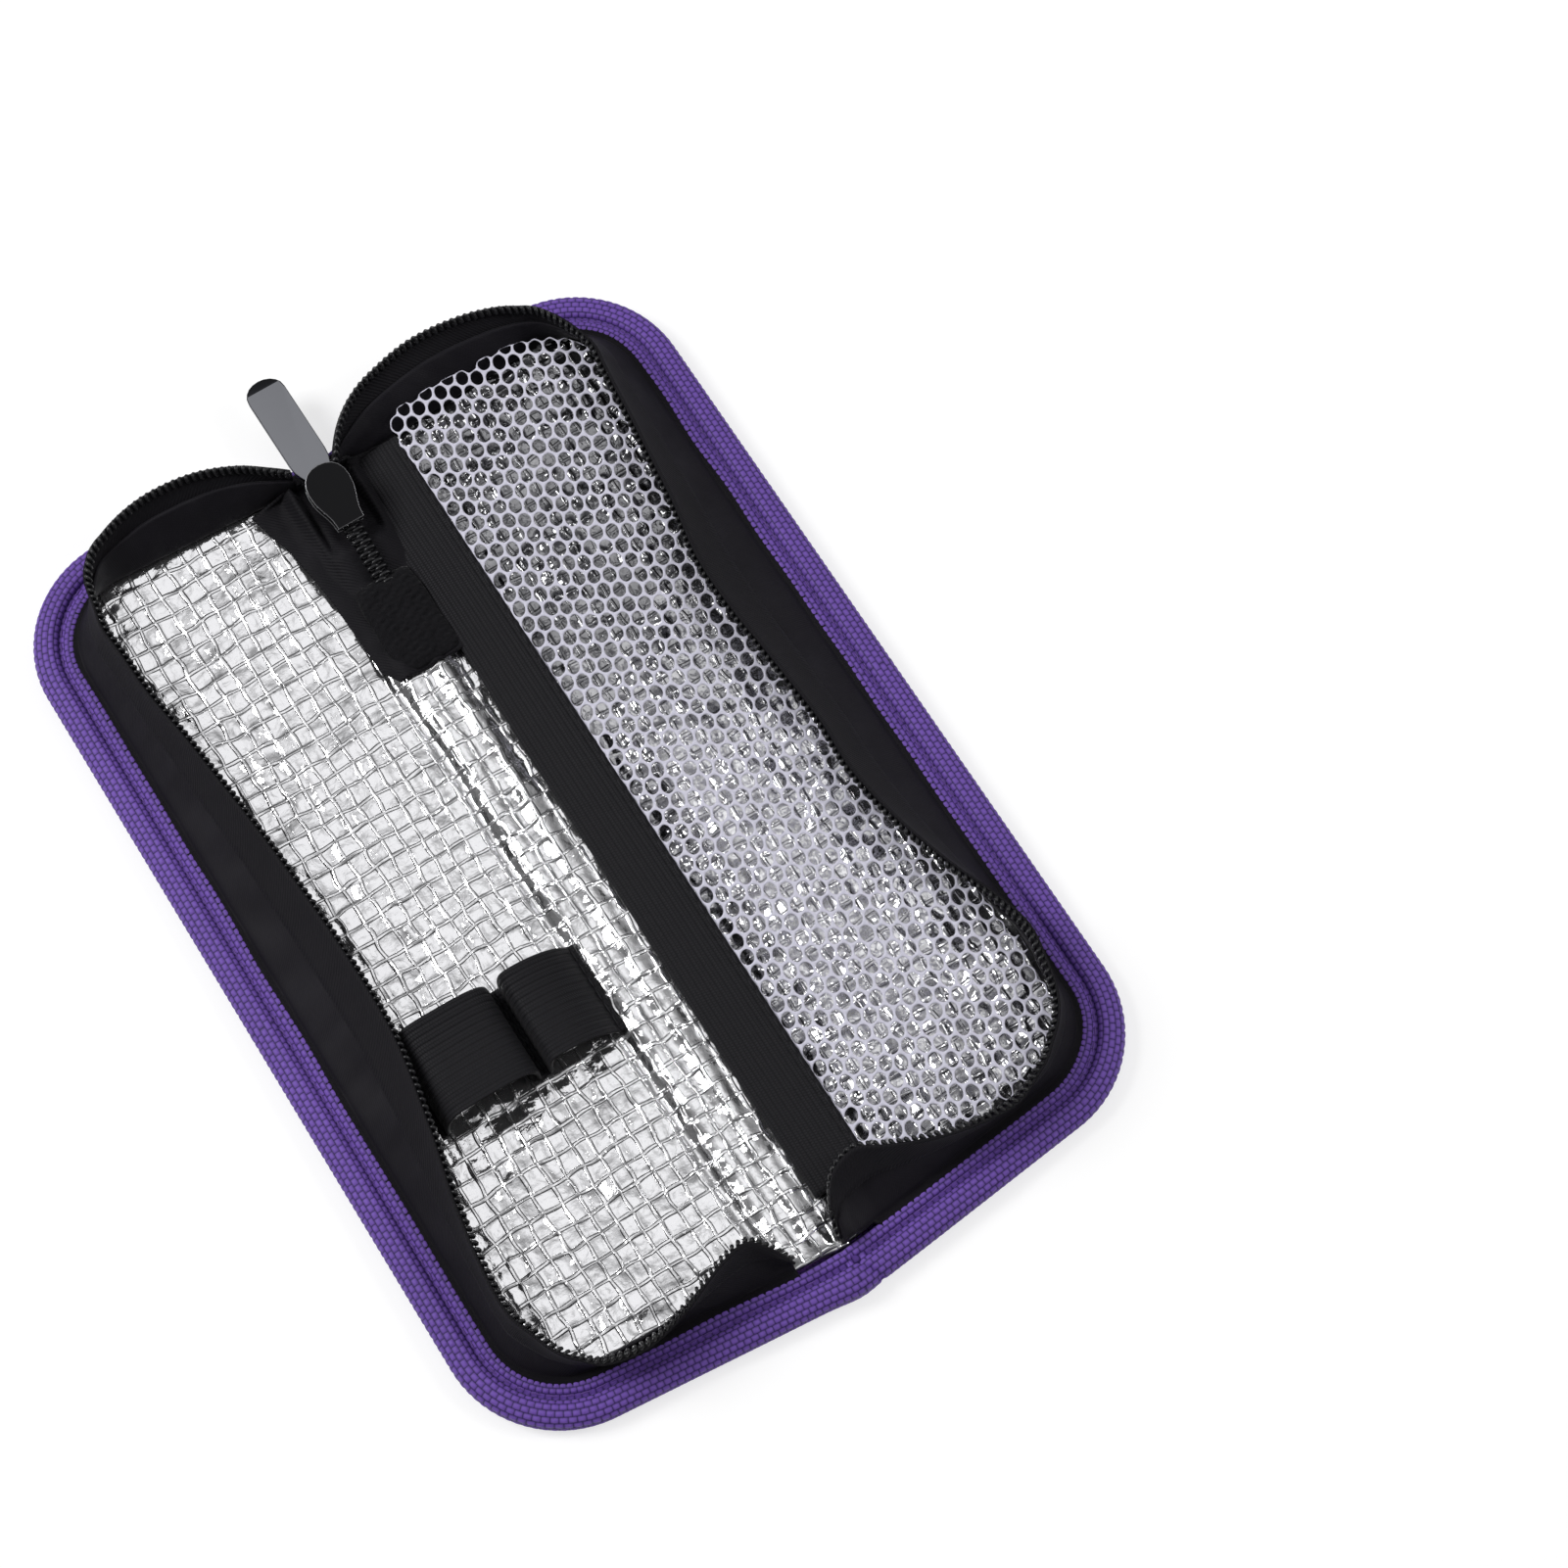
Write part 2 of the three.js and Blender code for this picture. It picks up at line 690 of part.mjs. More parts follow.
function netGeometry() {
  const shape = new THREE.Shape(closedNetOutline(0));
  const holeRadius = (netPitch - netStrand) / Math.sqrt(3);
  const field = closedNetOutline(holeRadius + netStrand / 2);
  const columnPitch = (netPitch * Math.sqrt(3)) / 2;
  const columns = Math.ceil(halfWidth / columnPitch);
  const rows = Math.ceil((2 * spineEndReach) / netPitch);
  for (let column = 0; column <= columns; column += 1) {
    for (let row = -rows; row <= rows; row += 1) {
      const x = netEdgeX + holeRadius + netStrand + column * columnPitch;
      const y = (row + (column % 2) / 2) * netPitch;
      if (insidePolygon(new THREE.Vector2(x, y), field)) {
        shape.holes.push(new THREE.Path(spread(0, 5, 5).map((i) => new THREE.Vector2(
          x + holeRadius * Math.cos((i * Math.PI) / 3),
          y + holeRadius * Math.sin((i * Math.PI) / 3),
        ))));
      }
    }
  }
  const geometry = extrude(shape, netThickness, 1);
  geometry.translate(0, 0, netBottom);
  return geometry;
}

addNode('mesh_pocket', netGeometry(), cloth(netLilac, 0.5));

// Elastic along the pocket's mouth: it lies on the spine at its free edge and rises to the net

function elasticBand() {
  const lowZ = wallFoot;
  const highZ = netHeight + netThickness - elasticThickness;
  const section = new THREE.Shape([
    new THREE.Vector2(elasticFreeEdgeX, lowZ),
    new THREE.Vector2(elasticSewnEdgeX, highZ),
    new THREE.Vector2(elasticSewnEdgeX, highZ + elasticThickness),
    new THREE.Vector2(elasticFreeEdgeX, lowZ + elasticThickness),
  ]);
  const geometry = extrude(section, elasticFarY - elasticNearY, 1);
  geometry.rotateX(Math.PI / 2);
  geometry.translate(0, elasticFarY, 0);
  return geometry;
}

addNode('pocket_elastic', elasticBand(), cloth(black, 0.7));

// Zipper slider, turned so that its closed end rises from the spine to the far end.
// Inside its group, y runs along the zipper and z is square to the tape.

const zipperFrame = new THREE.Group();
zipperFrame.position.set(sliderX, sliderY, sliderZ);
zipperFrame.rotation.x = sliderTilt;
insulinCase.add(zipperFrame);

const tapeGap = 0.3;
const chainWidth = 2 * coilWidth;
const lowerPlateTop = -tapeThickness / 2 - tapeGap;
const lowerPlateBottom = lowerPlateTop - sliderPlate;
const coilBottom = tapeThickness / 2 + clearance;
const coilTop = coilBottom + coilHeight;
const upperPlateBottom = coilTop + tapeGap;
const upperPlateTop = upperPlateBottom + sliderPlate;
const railBottom = tapeThickness / 2 + tapeGap;

// How far the curves between the slider's tail, shoulders and nose reach, as shares
const tailCurveShare = 0.4;
const noseCurveShare = 0.75;
const noseWidthShare = 0.6;

function teardrop(inset) {
  const mouth = sliderMouthWidth / 2 - inset;
  const tail = sliderTailWidth / 2 - inset;
  const nose = sliderLength / 2 - inset;
  const shoulder = sliderLength / 2 - sliderMouthWidth / 2;
  const shape = new THREE.Shape();
  shape.moveTo(-tail, -nose);
  shape.lineTo(tail, -nose);
  shape.bezierCurveTo(tail, -nose * tailCurveShare, mouth, -shoulder, mouth, shoulder);
  shape.bezierCurveTo(mouth, nose * noseCurveShare, mouth * noseWidthShare, nose, 0, nose);
  shape.bezierCurveTo(-mouth * noseWidthShare, nose, -mouth, nose * noseCurveShare, -mouth, shoulder);
  shape.bezierCurveTo(-mouth, -shoulder, -tail, -nose * tailCurveShare, -tail, -nose);
  return shape;
}

function slab(shape, bottom, top) {
  const geometry = extrude(shape, top - bottom, 5);
  geometry.translate(0, 0, bottom);
  return geometry;
}

const postCentreY = sliderLength / 2 - postLength / 2 - seat;

function sliderBody() {
  const lower = slab(teardrop(0), lowerPlateBottom, lowerPlateTop);
  const block = slab(teardrop(0), railBottom, upperPlateTop);
  const channel = slab(teardrop(railWidth), railBottom - sliderLength, upperPlateBottom);
  const mouthCut = new THREE.BoxGeometry(sliderMouthWidth, sliderLength / 2, upperPlateBottom * 2);
  mouthCut.translate(0, sliderLength / 2 + sliderPlate, 0);
  const tailCut = new THREE.BoxGeometry(
    sliderTailWidth - 2 * railWidth,
    sliderLength / 2,
    upperPlateBottom * 2,
  );
  tailCut.translate(0, -sliderLength / 2, 0);
  const upper = cut(cut(cut(block, channel), mouthCut), tailCut);
  const post = new THREE.CylinderGeometry(
    postLength / 2,
    postLength / 2,
    upperPlateBottom - lowerPlateTop + sliderPlate,
    8,
  );
  post.scale(postWidth / postLength, 1, 1);
  post.rotateX(Math.PI / 2);
  post.translate(0, postCentreY, (upperPlateBottom + lowerPlateTop) / 2);
  return fuse(lower, upper, post);
}

addNode('slider_body', sliderBody(), metal(black, 0.35), zipperFrame);

// Crown: the bridge under the slider that the pull hangs from

function crownBridge() {
  const top = lowerPlateBottom - seat;
  const depth = crownClear + crownBar - seat;
  const outer = new THREE.BoxGeometry(crownWidth, crownLength, depth);
  outer.translate(0, crownCentreY, top - depth / 2);
  const window = new THREE.BoxGeometry(crownWidth * 2, crownLength - 2 * crownBar, depth * 2);
  window.translate(0, crownCentreY, lowerPlateBottom - crownClear + depth);
  return cut(outer, window);
}

addNode('slider_crown', crownBridge(), metal(black, 0.35), zipperFrame);

// Pull: a flat plate with a rounded, chamfered tip and a slot round the crown's foot
const pullAxisY = crownCentreY + crownLength / 2 - crownBar - pullEyeWall / 2 - pullPlay;
const pullAxisZ = lowerPlateBottom - crownClear / 2;
const pullSlotWidth = crownWidth + 2 * seat;

function pullPlate() {
  const half = pullWidth / 2;
  const neck = pullSlotWidth / 2 + pullEyeWall;
  const tip = pullLength - half;
  const shape = new THREE.Shape();
  shape.moveTo(-neck, -pullEyeWall / 2);
  shape.lineTo(neck, -pullEyeWall / 2);
  shape.bezierCurveTo(neck, half, half, half, half, pullWidth);
  shape.lineTo(half, tip);
  shape.absellipse(0, tip, half, half, 0, Math.PI, false);
  shape.lineTo(-half, pullWidth);
  shape.bezierCurveTo(-half, half, -neck, half, -neck, -pullEyeWall / 2);
  const slot = new THREE.Path();
  slot.moveTo(-pullSlotWidth / 2, pullEyeWall / 2);
  slot.lineTo(-pullSlotWidth / 2, pullEyeWall / 2 + pullSlotLength);
  slot.lineTo(pullSlotWidth / 2, pullEyeWall / 2 + pullSlotLength);
  slot.lineTo(pullSlotWidth / 2, pullEyeWall / 2);
  shape.holes.push(slot);
  const blank = slab(shape, -pullThickness / 2, pullThickness / 2);
  const wedge = new THREE.BoxGeometry(pullWidth * 2, pullTipChamfer * 2, pullThickness * 2);
  wedge.translate(0, pullTipChamfer, pullThickness);
  wedge.rotateX(-pullChamferAngle);
  wedge.translate(0, pullLength - pullTipChamfer, pullThickness / 2);
  return cut(blank, wedge);
}

const pull = addNode('slider_pull', pullPlate(), metal(gunmetal, 0.25), zipperFrame);
pull.position.set(0, pullAxisY, pullAxisZ);
pull.rotation.x = -sliderTilt - pullDroop;

// Closed end of the zipper, from the tab up to the slider

const chainEndY = -sliderLength / 2 - seat * 2;
const chainStartY = (tabFarY + seat * 2 - sliderY) / Math.cos(sliderTilt);

function joinedTape() {
  const length = chainEndY - chainStartY;
  const geometry = new THREE.BoxGeometry(joinedTapeWidth, length, tapeThickness);
  geometry.translate(0, chainStartY + length / 2, 0);
  return geometry;
}

function joinedCoil() {
  const turns = Math.floor((chainEndY - chainStartY) / coilPitch);
  const rings = spread(0, 2 * turns, 2 * turns).map((i) => {
    const y = chainStartY + (i * coilPitch) / 2;
    const half = chainWidth / 2 - (i % 2 === 0 ? coilValleyDepth / 2 : 0);
    const top = coilTop - (i % 2 === 0 ? coilValleyDepth / 2 : 0);
    return [
      new THREE.Vector3(-half, y, coilBottom),
      new THREE.Vector3(half, y, coilBottom),
      new THREE.Vector3(half, y, (coilBottom + top) / 2),
      new THREE.Vector3(half / 2, y, top),
      new THREE.Vector3(-half / 2, y, top),
      new THREE.Vector3(-half, y, (coilBottom + top) / 2),
    ];
  });
  return sweep(rings, rings[0].map((p) => new THREE.Vector2(p.x, p.z)));
}

addNode('joined_zipper_tape', joinedTape(), cloth(black, 0.8), zipperFrame);
addNode('joined_zipper_coil', joinedCoil(), cloth(black, 0.4), zipperFrame);

// Fabric tab over the end of the zipper

function endTab() {
  const top = wallFoot + tabHeight;
  const shoulder = top - tabHeight / 2;
  const section = new THREE.Shape();
  section.moveTo(tabLeftX, wallFoot);
  section.lineTo(tabRightX, wallFoot);
  section.lineTo(tabRightX, shoulder);
  section.quadraticCurveTo(tabRightX, top, tabRightX - tabHeight / 2, top);
  section.lineTo(tabLeftX + tabHeight / 2, top);
  section.quadraticCurveTo(tabLeftX, top, tabLeftX, shoulder);
  const geometry = extrude(section, tabLength, 4);
  geometry.rotateX(Math.PI / 2);
  geometry.translate(0, tabFarY, 0);
  return geometry;
}

addNode('end_tab', endTab(), cloth(black, 0.95));

export default insulinCase;
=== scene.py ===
"""Looks of the open insulin cooling case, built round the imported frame.

Lengths are in millimetres in the row frame and turned into metres when a mesh is made.
"""

import math
from functools import partialmethod
import bmesh
import bpy
import numpy as np
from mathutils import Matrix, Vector


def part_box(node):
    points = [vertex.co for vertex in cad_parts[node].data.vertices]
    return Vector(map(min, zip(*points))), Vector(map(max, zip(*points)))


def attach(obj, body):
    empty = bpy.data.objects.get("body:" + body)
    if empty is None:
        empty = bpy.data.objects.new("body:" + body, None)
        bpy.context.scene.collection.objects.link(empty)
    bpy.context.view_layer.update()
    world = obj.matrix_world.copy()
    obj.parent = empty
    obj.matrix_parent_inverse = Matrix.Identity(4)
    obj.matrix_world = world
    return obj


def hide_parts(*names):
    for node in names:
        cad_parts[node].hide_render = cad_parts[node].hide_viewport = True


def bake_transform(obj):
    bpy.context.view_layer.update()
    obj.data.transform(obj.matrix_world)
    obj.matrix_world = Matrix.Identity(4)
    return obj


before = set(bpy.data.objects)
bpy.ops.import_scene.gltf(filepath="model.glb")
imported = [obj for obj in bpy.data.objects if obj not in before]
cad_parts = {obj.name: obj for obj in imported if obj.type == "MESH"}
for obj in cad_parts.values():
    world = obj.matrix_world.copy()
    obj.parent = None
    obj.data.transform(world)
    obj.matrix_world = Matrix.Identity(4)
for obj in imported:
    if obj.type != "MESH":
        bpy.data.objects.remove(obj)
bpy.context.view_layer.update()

MM = 0.001
NAMES = {-1: "base", 1: "lid"}

# Sizes of the shell, the same as the frame's
HALF_WIDTH = 73.0
SPINE_END = 104.0
FAR_RISE = 4.0
NEAR_RISE = 7.5
CORNER_R = 24.0
FOLD_X = 9.0
FOLD_Z = 11.5
FOLD_SWEEP = 6.9
LINER_TOP = 3.85
WALL_FOOT = 4.15
SEAM_INSET = 9.3
GUSSET_WIDTH = 18.5
BULGE = 1.1
# Cut widths of the wall and the zipper tape, and how much of the tape shows
BINDING_TOP = 4.9
BINDING_WIDTH = 8.5
BINDING_UNDER = 9.5

# Yarns of the binding's webbing
YARN_ALONG = 1.5
YARN_ACROSS = 1.25
YARN_RELIEF = 0.26

FAR_SLOPE = FAR_RISE / HALF_WIDTH
NEAR_SLOPE = NEAR_RISE / HALF_WIDTH
PANEL_X = FOLD_X + 0.15


# ---- mesh helpers ----

def make_mesh(name, verts, faces, material, uv=None):
    """A smooth-shaded object from points in millimetres."""
    mesh = bpy.data.meshes.new(name)
    mesh.from_pydata([tuple(v) for v in np.asarray(verts, float) * MM], [], faces)
    if uv is not None:
        layer = mesh.uv_layers.new(name="UVMap")
        index = np.zeros(len(mesh.loops), np.int32)
        mesh.loops.foreach_get("vertex_index", index)
        layer.data.foreach_set("uv", (np.asarray(uv, float)[index] * MM).ravel())
    mesh.materials.append(material)
    return add_object(name, mesh)


def add_object(name, mesh):
    mesh.polygons.foreach_set("use_smooth", [True] * len(mesh.polygons))
    mesh.update()
    return link(bpy.data.objects.new(name, mesh))


def link(obj):
    bpy.context.scene.collection.objects.link(obj)
    return obj


def grid_faces(rows, cols, wrap=False, close=False, start=0):
    """Quads of a grid; wrap joins its last column to its first, and close its rows."""
    faces = []
    for r in range(rows if close else rows - 1):
        a, b = start + r * cols, start + (r + 1) % rows * cols
        for c in range(cols if wrap else cols - 1):
            d = (c + 1) % cols
            faces.append((a + c, a + d, b + d, b + c))
    return faces


def grid_mesh(name, points, uv, material, wrap=False, caps=False):
    rows, cols = points.shape[:2]
    faces = grid_faces(rows, cols, wrap)
    if caps:
        faces.append(tuple(range(cols))[::-1])
        faces.append(tuple(range((rows - 1) * cols, rows * cols)))
    return make_mesh(name, points.reshape(-1, 3), faces, material, uv.reshape(-1, 2))


def orient_out(obj):
    bm = bmesh.new()
    bm.from_mesh(obj.data)
    bmesh.ops.recalc_face_normals(bm, faces=bm.faces)
    bm.to_mesh(obj.data)
    bm.free()
    return obj


def modify(obj, name, kind, **values):
    modifier = obj.modifiers.new(name, kind)
    for key, value in values.items():
        setattr(modifier, key, value)
    return obj


def solidify(obj, thickness, offset=0.0):
    return modify(obj, "Solidify", "SOLIDIFY", thickness=thickness * MM, offset=offset)


def clamp(share):
    return np.clip(share, 0, 1)


def bell(distance, width, power=2):
    """1 at no distance, and smoothly 0 past a width."""
    return np.exp(-(np.abs(distance / width) ** power))


def unit(vectors):
    return vectors / np.linalg.norm(vectors, axis=-1, keepdims=True)


def run_along(line):
    """Distance along a line of points, at each of them."""
    return np.concatenate([[0], np.cumsum(np.linalg.norm(np.diff(line, axis=0), axis=1))])


def points_at(line, run, at):
    """Points at distances along a line."""
    return np.stack([np.interp(at, run, column) for column in line.T], 1)


def as_uv(u, v):
    return np.stack(np.broadcast_arrays(u, v), 2)


def ripple(u, v, scale, seed):
    """Smooth random field from a few sines, from -1 to 1."""
    r = np.random.default_rng(seed)
    total = np.zeros_like(np.asarray(u, float) + np.asarray(v, float))
    for _ in range(7):
        angle = r.uniform(0, 2 * math.pi)
        k = 2 * math.pi / (scale * r.uniform(0.7, 1.5))
        phase = r.uniform(0, 2 * math.pi)
        total = total + np.sin(k * (u * math.cos(angle) + v * math.sin(angle)) + phase)
    return total / 3.5


# ---- outline of one half: side is -1 for the base half, +1 for the lid half ----

def far_y(x):
    return SPINE_END + FAR_SLOPE * abs(x)


def near_y(x):
    return -SPINE_END + NEAR_SLOPE * abs(x)


CORNER_X = HALF_WIDTH - CORNER_R
FAR_CY = far_y(CORNER_X) - CORNER_R * math.hypot(1, FAR_SLOPE)
NEAR_CY = near_y(CORNER_X) + CORNER_R * math.hypot(1, NEAR_SLOPE)
FAR_ANGLE = math.pi / 2 + math.atan(FAR_SLOPE)
NEAR_ANGLE = -math.pi / 2 + math.atan(NEAR_SLOPE)
EASE = 12.0


def half_path(side, radius, step, start_x=0.0):
    """Stations along one half's edge from start_x to start_x: outer points, outward
    directions, distances measured CORNER_R - radius inside the edge, and its runs' lengths."""
    far_x = CORNER_X + CORNER_R * math.cos(FAR_ANGLE)
    near_x = CORNER_X + CORNER_R * math.cos(NEAR_ANGLE)
    runs = [
        (far_x - start_x) * math.hypot(1, FAR_SLOPE),
        radius * FAR_ANGLE,
        FAR_CY - NEAR_CY,
        -radius * NEAR_ANGLE,
        (near_x - start_x) * math.hypot(1, NEAR_SLOPE),
    ]
    pts, outs, dist = [], [], []
    total = 0.0
    for k, run in enumerate(runs):
        n = max(20 if k in (1, 3) else 2, int(round(run / step)))
        centre = np.array([CORNER_X, FAR_CY if k < 3 else NEAR_CY])
        for i in range(n + (k == 4)):
            t = run * i / n
            angle = (FAR_ANGLE, FAR_ANGLE - t / radius, 0.0, -t / radius, NEAR_ANGLE)[k]
            slide = (t - run, 0.0, t, 0.0, t)[k]
            out = np.array([math.cos(angle), math.sin(angle)])
            p = centre + out * CORNER_R + np.array([out[1], -out[0]]) * slide
            ease = (abs(p[0]) - start_x) / EASE
            if ease < 1:
                across = out[0] * ease
                out = np.array([across, math.copysign(math.sqrt(1 - across ** 2), p[1])])
            pts.append([p[0] * side, p[1]])
            outs.append([out[0] * side, out[1]])
            dist.append(total + t)
        total += run
    return np.array(pts), np.array(outs), np.array(dist), runs


# ---- materials ----

SOCKETS = {
    "color": "Base Color", "rough": "Roughness", "metallic": "Metallic", "normal": "Normal",
    "spec": "Specular IOR Level", "sheen": "Sheen Weight", "sheen_rough": "Sheen Roughness",
}


class Nodes:
    """Short names for building a node tree."""

    def __init__(self, tree):
        self.tree = tree
        tree.nodes.clear()

    def new(self, kind):
        return self.tree.nodes.new("ShaderNode" + kind)

    def put(self, socket, value):
        """Link a node's output to a socket, or set the socket's value."""
        if isinstance(value, bpy.types.NodeSocket):
            self.tree.links.new(value, socket)
        else:
            socket.default_value = value

    def math(self, op, a, b=None, c=None):
        n = self.new("Math")
        n.operation = op
        for i, value in enumerate((a, b, c)):
            if value is not None:
                self.put(n.inputs[i], value)
        return n.outputs[0]

    add = partialmethod(math, "ADD")
    sub = partialmethod(math, "SUBTRACT")
    mul = partialmethod(math, "MULTIPLY")
    div = partialmethod(math, "DIVIDE")
    most = partialmethod(math, "MAXIMUM")

    def clamp(self, a):
        return self.math("MINIMUM", self.most(a, 0.0), 1.0)

    def coords(self, kind):
        """X, Y and Z of the UV or Object coordinates."""
        split = self.new("SeparateXYZ")
        self.put(split.inputs[0], self.new("TexCoord").outputs[kind])
        return [split.outputs[i] for i in range(3)]

    def beads(self, u, v, pitch_u, pitch_v):
        """Height from 0 to 1 of rounded beads in rows, as in a plain weave."""
        row = self.div(v, pitch_v)
        odd = self.math("FLOORED_MODULO", self.math("FLOOR", row), 2.0)
        column = self.add(self.div(u, pitch_u), self.mul(odd, 0.5))

        def arch(value, power):
            centred = self.sub(self.mul(self.math("FRACT", value), 2.0), 1.0)
            return self.sub(1.0, self.math("POWER", self.math("ABSOLUTE", centred), power))

        return self.mul(arch(column, 4.0), arch(row, 3.0))

    def noise(self, scale, detail=2.0, coords="Object"):
        n = self.new("TexNoise")
        self.put(n.inputs["Scale"], scale)
        self.put(n.inputs["Detail"], detail)
        self.put(n.inputs["Vector"], self.new("TexCoord").outputs[coords])
        return n.outputs["Fac"]

    def bump(self, height, distance):
        n = self.new("Bump")
        self.put(n.inputs["Distance"], distance * MM)
        self.put(n.inputs["Height"], height)
        return n.outputs[0]

    def mix_color(self, fac, a, b):
        n = self.new("Mix")
        n.data_type = "RGBA"
        for i, value in ((0, fac), (6, (*a, 1)), (7, (*b, 1))):
            self.put(n.inputs[i], value)
        return n.outputs[2]


class Principled(Nodes):
    """A material with one Principled shader, whose sockets have the short names above."""

    def __init__(self, name, **values):
        self.material = bpy.data.materials.new(name)
        self.material.use_nodes = True
        super().__init__(self.material.node_tree)
        self.surface = self.new("OutputMaterial").inputs[0]
        self.bsdf = self.new("BsdfPrincipled")
        self.put(self.surface, self.bsdf.outputs[0])
        self.set(**values)

    def set(self, **values):
        for key, value in values.items():
            self.put(self.bsdf.inputs[SOCKETS[key]], value)


def fabric(name, rough, spec, sheen=0.0):
    return Principled(name, rough=rough, spec=spec, sheen=sheen, sheen_rough=0.4)


def woven(name, dark, light, pitch_u, pitch_v, depth, rough, sheen):
    """Woven cloth whose yarns are beads on real-size UV coordinates."""
    k = fabric(name, rough, 0.3, sheen)
    u, v, _ = k.coords("UV")
    h = k.beads(u, v, pitch_u * MM, pitch_v * MM)
    grain = k.add(0.62, k.mul(k.noise(1200.0), 0.36))
    level = k.add(grain, k.mul(k.noise(60.0), 0.3))
    # Colour darkens towards the edges of each bead: painted shade between the yarns, with uneven
    # tone from the noise
    color = k.mix_color(k.mul(k.math("POWER", h, 0.8), level), dark, light)
    fuzzy = k.add(h, k.mul(k.noise(2600.0), 0.35))
    k.set(color=color, normal=k.bump(fuzzy, depth))
    return k.material


def brushed(name, color, rough, metallic, spec, scale, depth):
    """Metal or nylon with a fine uneven surface."""
    k = Principled(name, color=(*color, 1), metallic=metallic, spec=spec)
    level = k.add(rough - 0.05, k.mul(k.noise(scale / 4), 0.1))
    k.set(rough=level, normal=k.bump(k.noise(scale), depth))
    return k.material


def satin_black(name, base, rough, twill, depth):
    """Thin black lining cloth with a fine diagonal weave."""
    k = fabric(name, rough, 0.16, 0.02)
    u, v, _ = k.coords("UV")
    wave = k.math("SINE", k.mul(k.add(u, v), 2 * math.pi / (twill * MM)))
    lint = k.mul(k.noise(45.0, 3.0), 0.8)
    color = k.mix_color(lint, base, tuple(c * 2.1 for c in base))
    k.set(color=color, normal=k.bump(k.add(k.mul(wave, 0.5), k.noise(500.0, 3.0)), depth))
    return k.material


def fluffy(name, rough, spec, sheen, scale, depth, dark, light):
    """Velvet or spun thread: noise sets both its height and its colour."""
    k = fabric(name, rough, spec, sheen)
    h = k.noise(scale)
    # Colour follows that height, darker in its low parts: painted shade in the hollows, together
    # with uneven tone
    k.set(color=k.mix_color(h, dark, light), normal=k.bump(h, depth))
    return k.material


def ribbed_elastic():
    """Black elastic's fine knit; its ribs are geometry."""
    k = fabric("ribbed_elastic", 0.62, 0.2, 0.03)
    u, v, _ = k.coords("UV")
    knit = k.beads(u, v, 0.55 * MM, 0.8 * MM)
    # Colour darkens between the knit's beads: painted shade between its loops
    color = k.mix_color(knit, (0.0024, 0.0024, 0.0032), (0.0105, 0.010, 0.0128))
    k.set(color=color, normal=k.bump(knit, 0.1))
    return k.material


webbing = woven(
    "webbing", (0.009, 0.003, 0.040), (0.165, 0.081, 0.42), YARN_ALONG, YARN_ACROSS, 0.06, 0.62,
    0.12,
)
oxford = woven("oxford_cloth", (0.06, 0.022, 0.15), (0.19, 0.07, 0.37), 0.62, 0.62, 0.1, 0.55, 0.12)
stitch_thread = fabric("stitch_thread", 0.5, 0.35, 0.1)
stitch_thread.set(color=(0.10, 0.045, 0.24, 1))
gusset_cloth = satin_black("gusset_satin", (0.0048, 0.0042, 0.0062), 0.58, 0.55, 0.03)
tape_cloth = satin_black("zipper_tape_cloth", (0.0040, 0.0036, 0.0050), 0.68, 0.8, 0.06)
coil_nylon = brushed("coil_nylon", (0.0075, 0.0075, 0.009), 0.36, 0.0, 0.4, 900.0, 0.02)
black_thread = brushed("black_thread", (0.012, 0.012, 0.014), 0.6, 0.0, 0.25, 1500.0, 0.04)
enamel = brushed("slider_enamel", (0.0035, 0.0035, 0.0044), 0.3, 0.0, 0.16, 300.0, 0.015)
gunmetal = brushed("pull_gunmetal", (0.25, 0.255, 0.275), 0.3, 1.0, 0.5, 500.0, 0.006)
# Darker metal for the pull's chamfers: a painted dark reflection
bevel_painted_reflection = brushed("pull_bevel", (0.035, 0.036, 0.04), 0.3, 1.0, 0.5, 500.0, 0.006)
# Lighter metal on the slider's rounded edges: a painted highlight along its rim
edge_painted_highlight = brushed("slider_edge", (0.22, 0.22, 0.23), 0.35, 0.8, 0.5, 500.0, 0.006)
foam_white = brushed("foam_white", (0.8, 0.8, 0.8), 0.9, 0.0, 0.2, 900.0, 0.1)
elastic_cloth = ribbed_elastic()
tab_cloth = fluffy(
    "velvet_black", 0.9, 0.12, 0.12, 1500.0, 0.28, (0.003, 0.003, 0.0038), (0.0095, 0.009, 0.0108)
)
net_nylon = fluffy(
    "net_nylon", 0.55, 0.35, 0.15, 1800.0, 0.1, (0.50, 0.49, 0.59), (0.70, 0.69, 0.79)
)

# Cells of the foil's woven grid, across and along, and the half width of a thread's ridge
CELL_X = 3.6
CELL_Y = 4.25
THREAD_REACH = 0.42
FILM_BRIGHT = (0.88, 0.88, 0.895)
# Colour of the pocket film's painted shade
FILM_PAINTED_SHADE = (0.27, 0.27, 0.28)


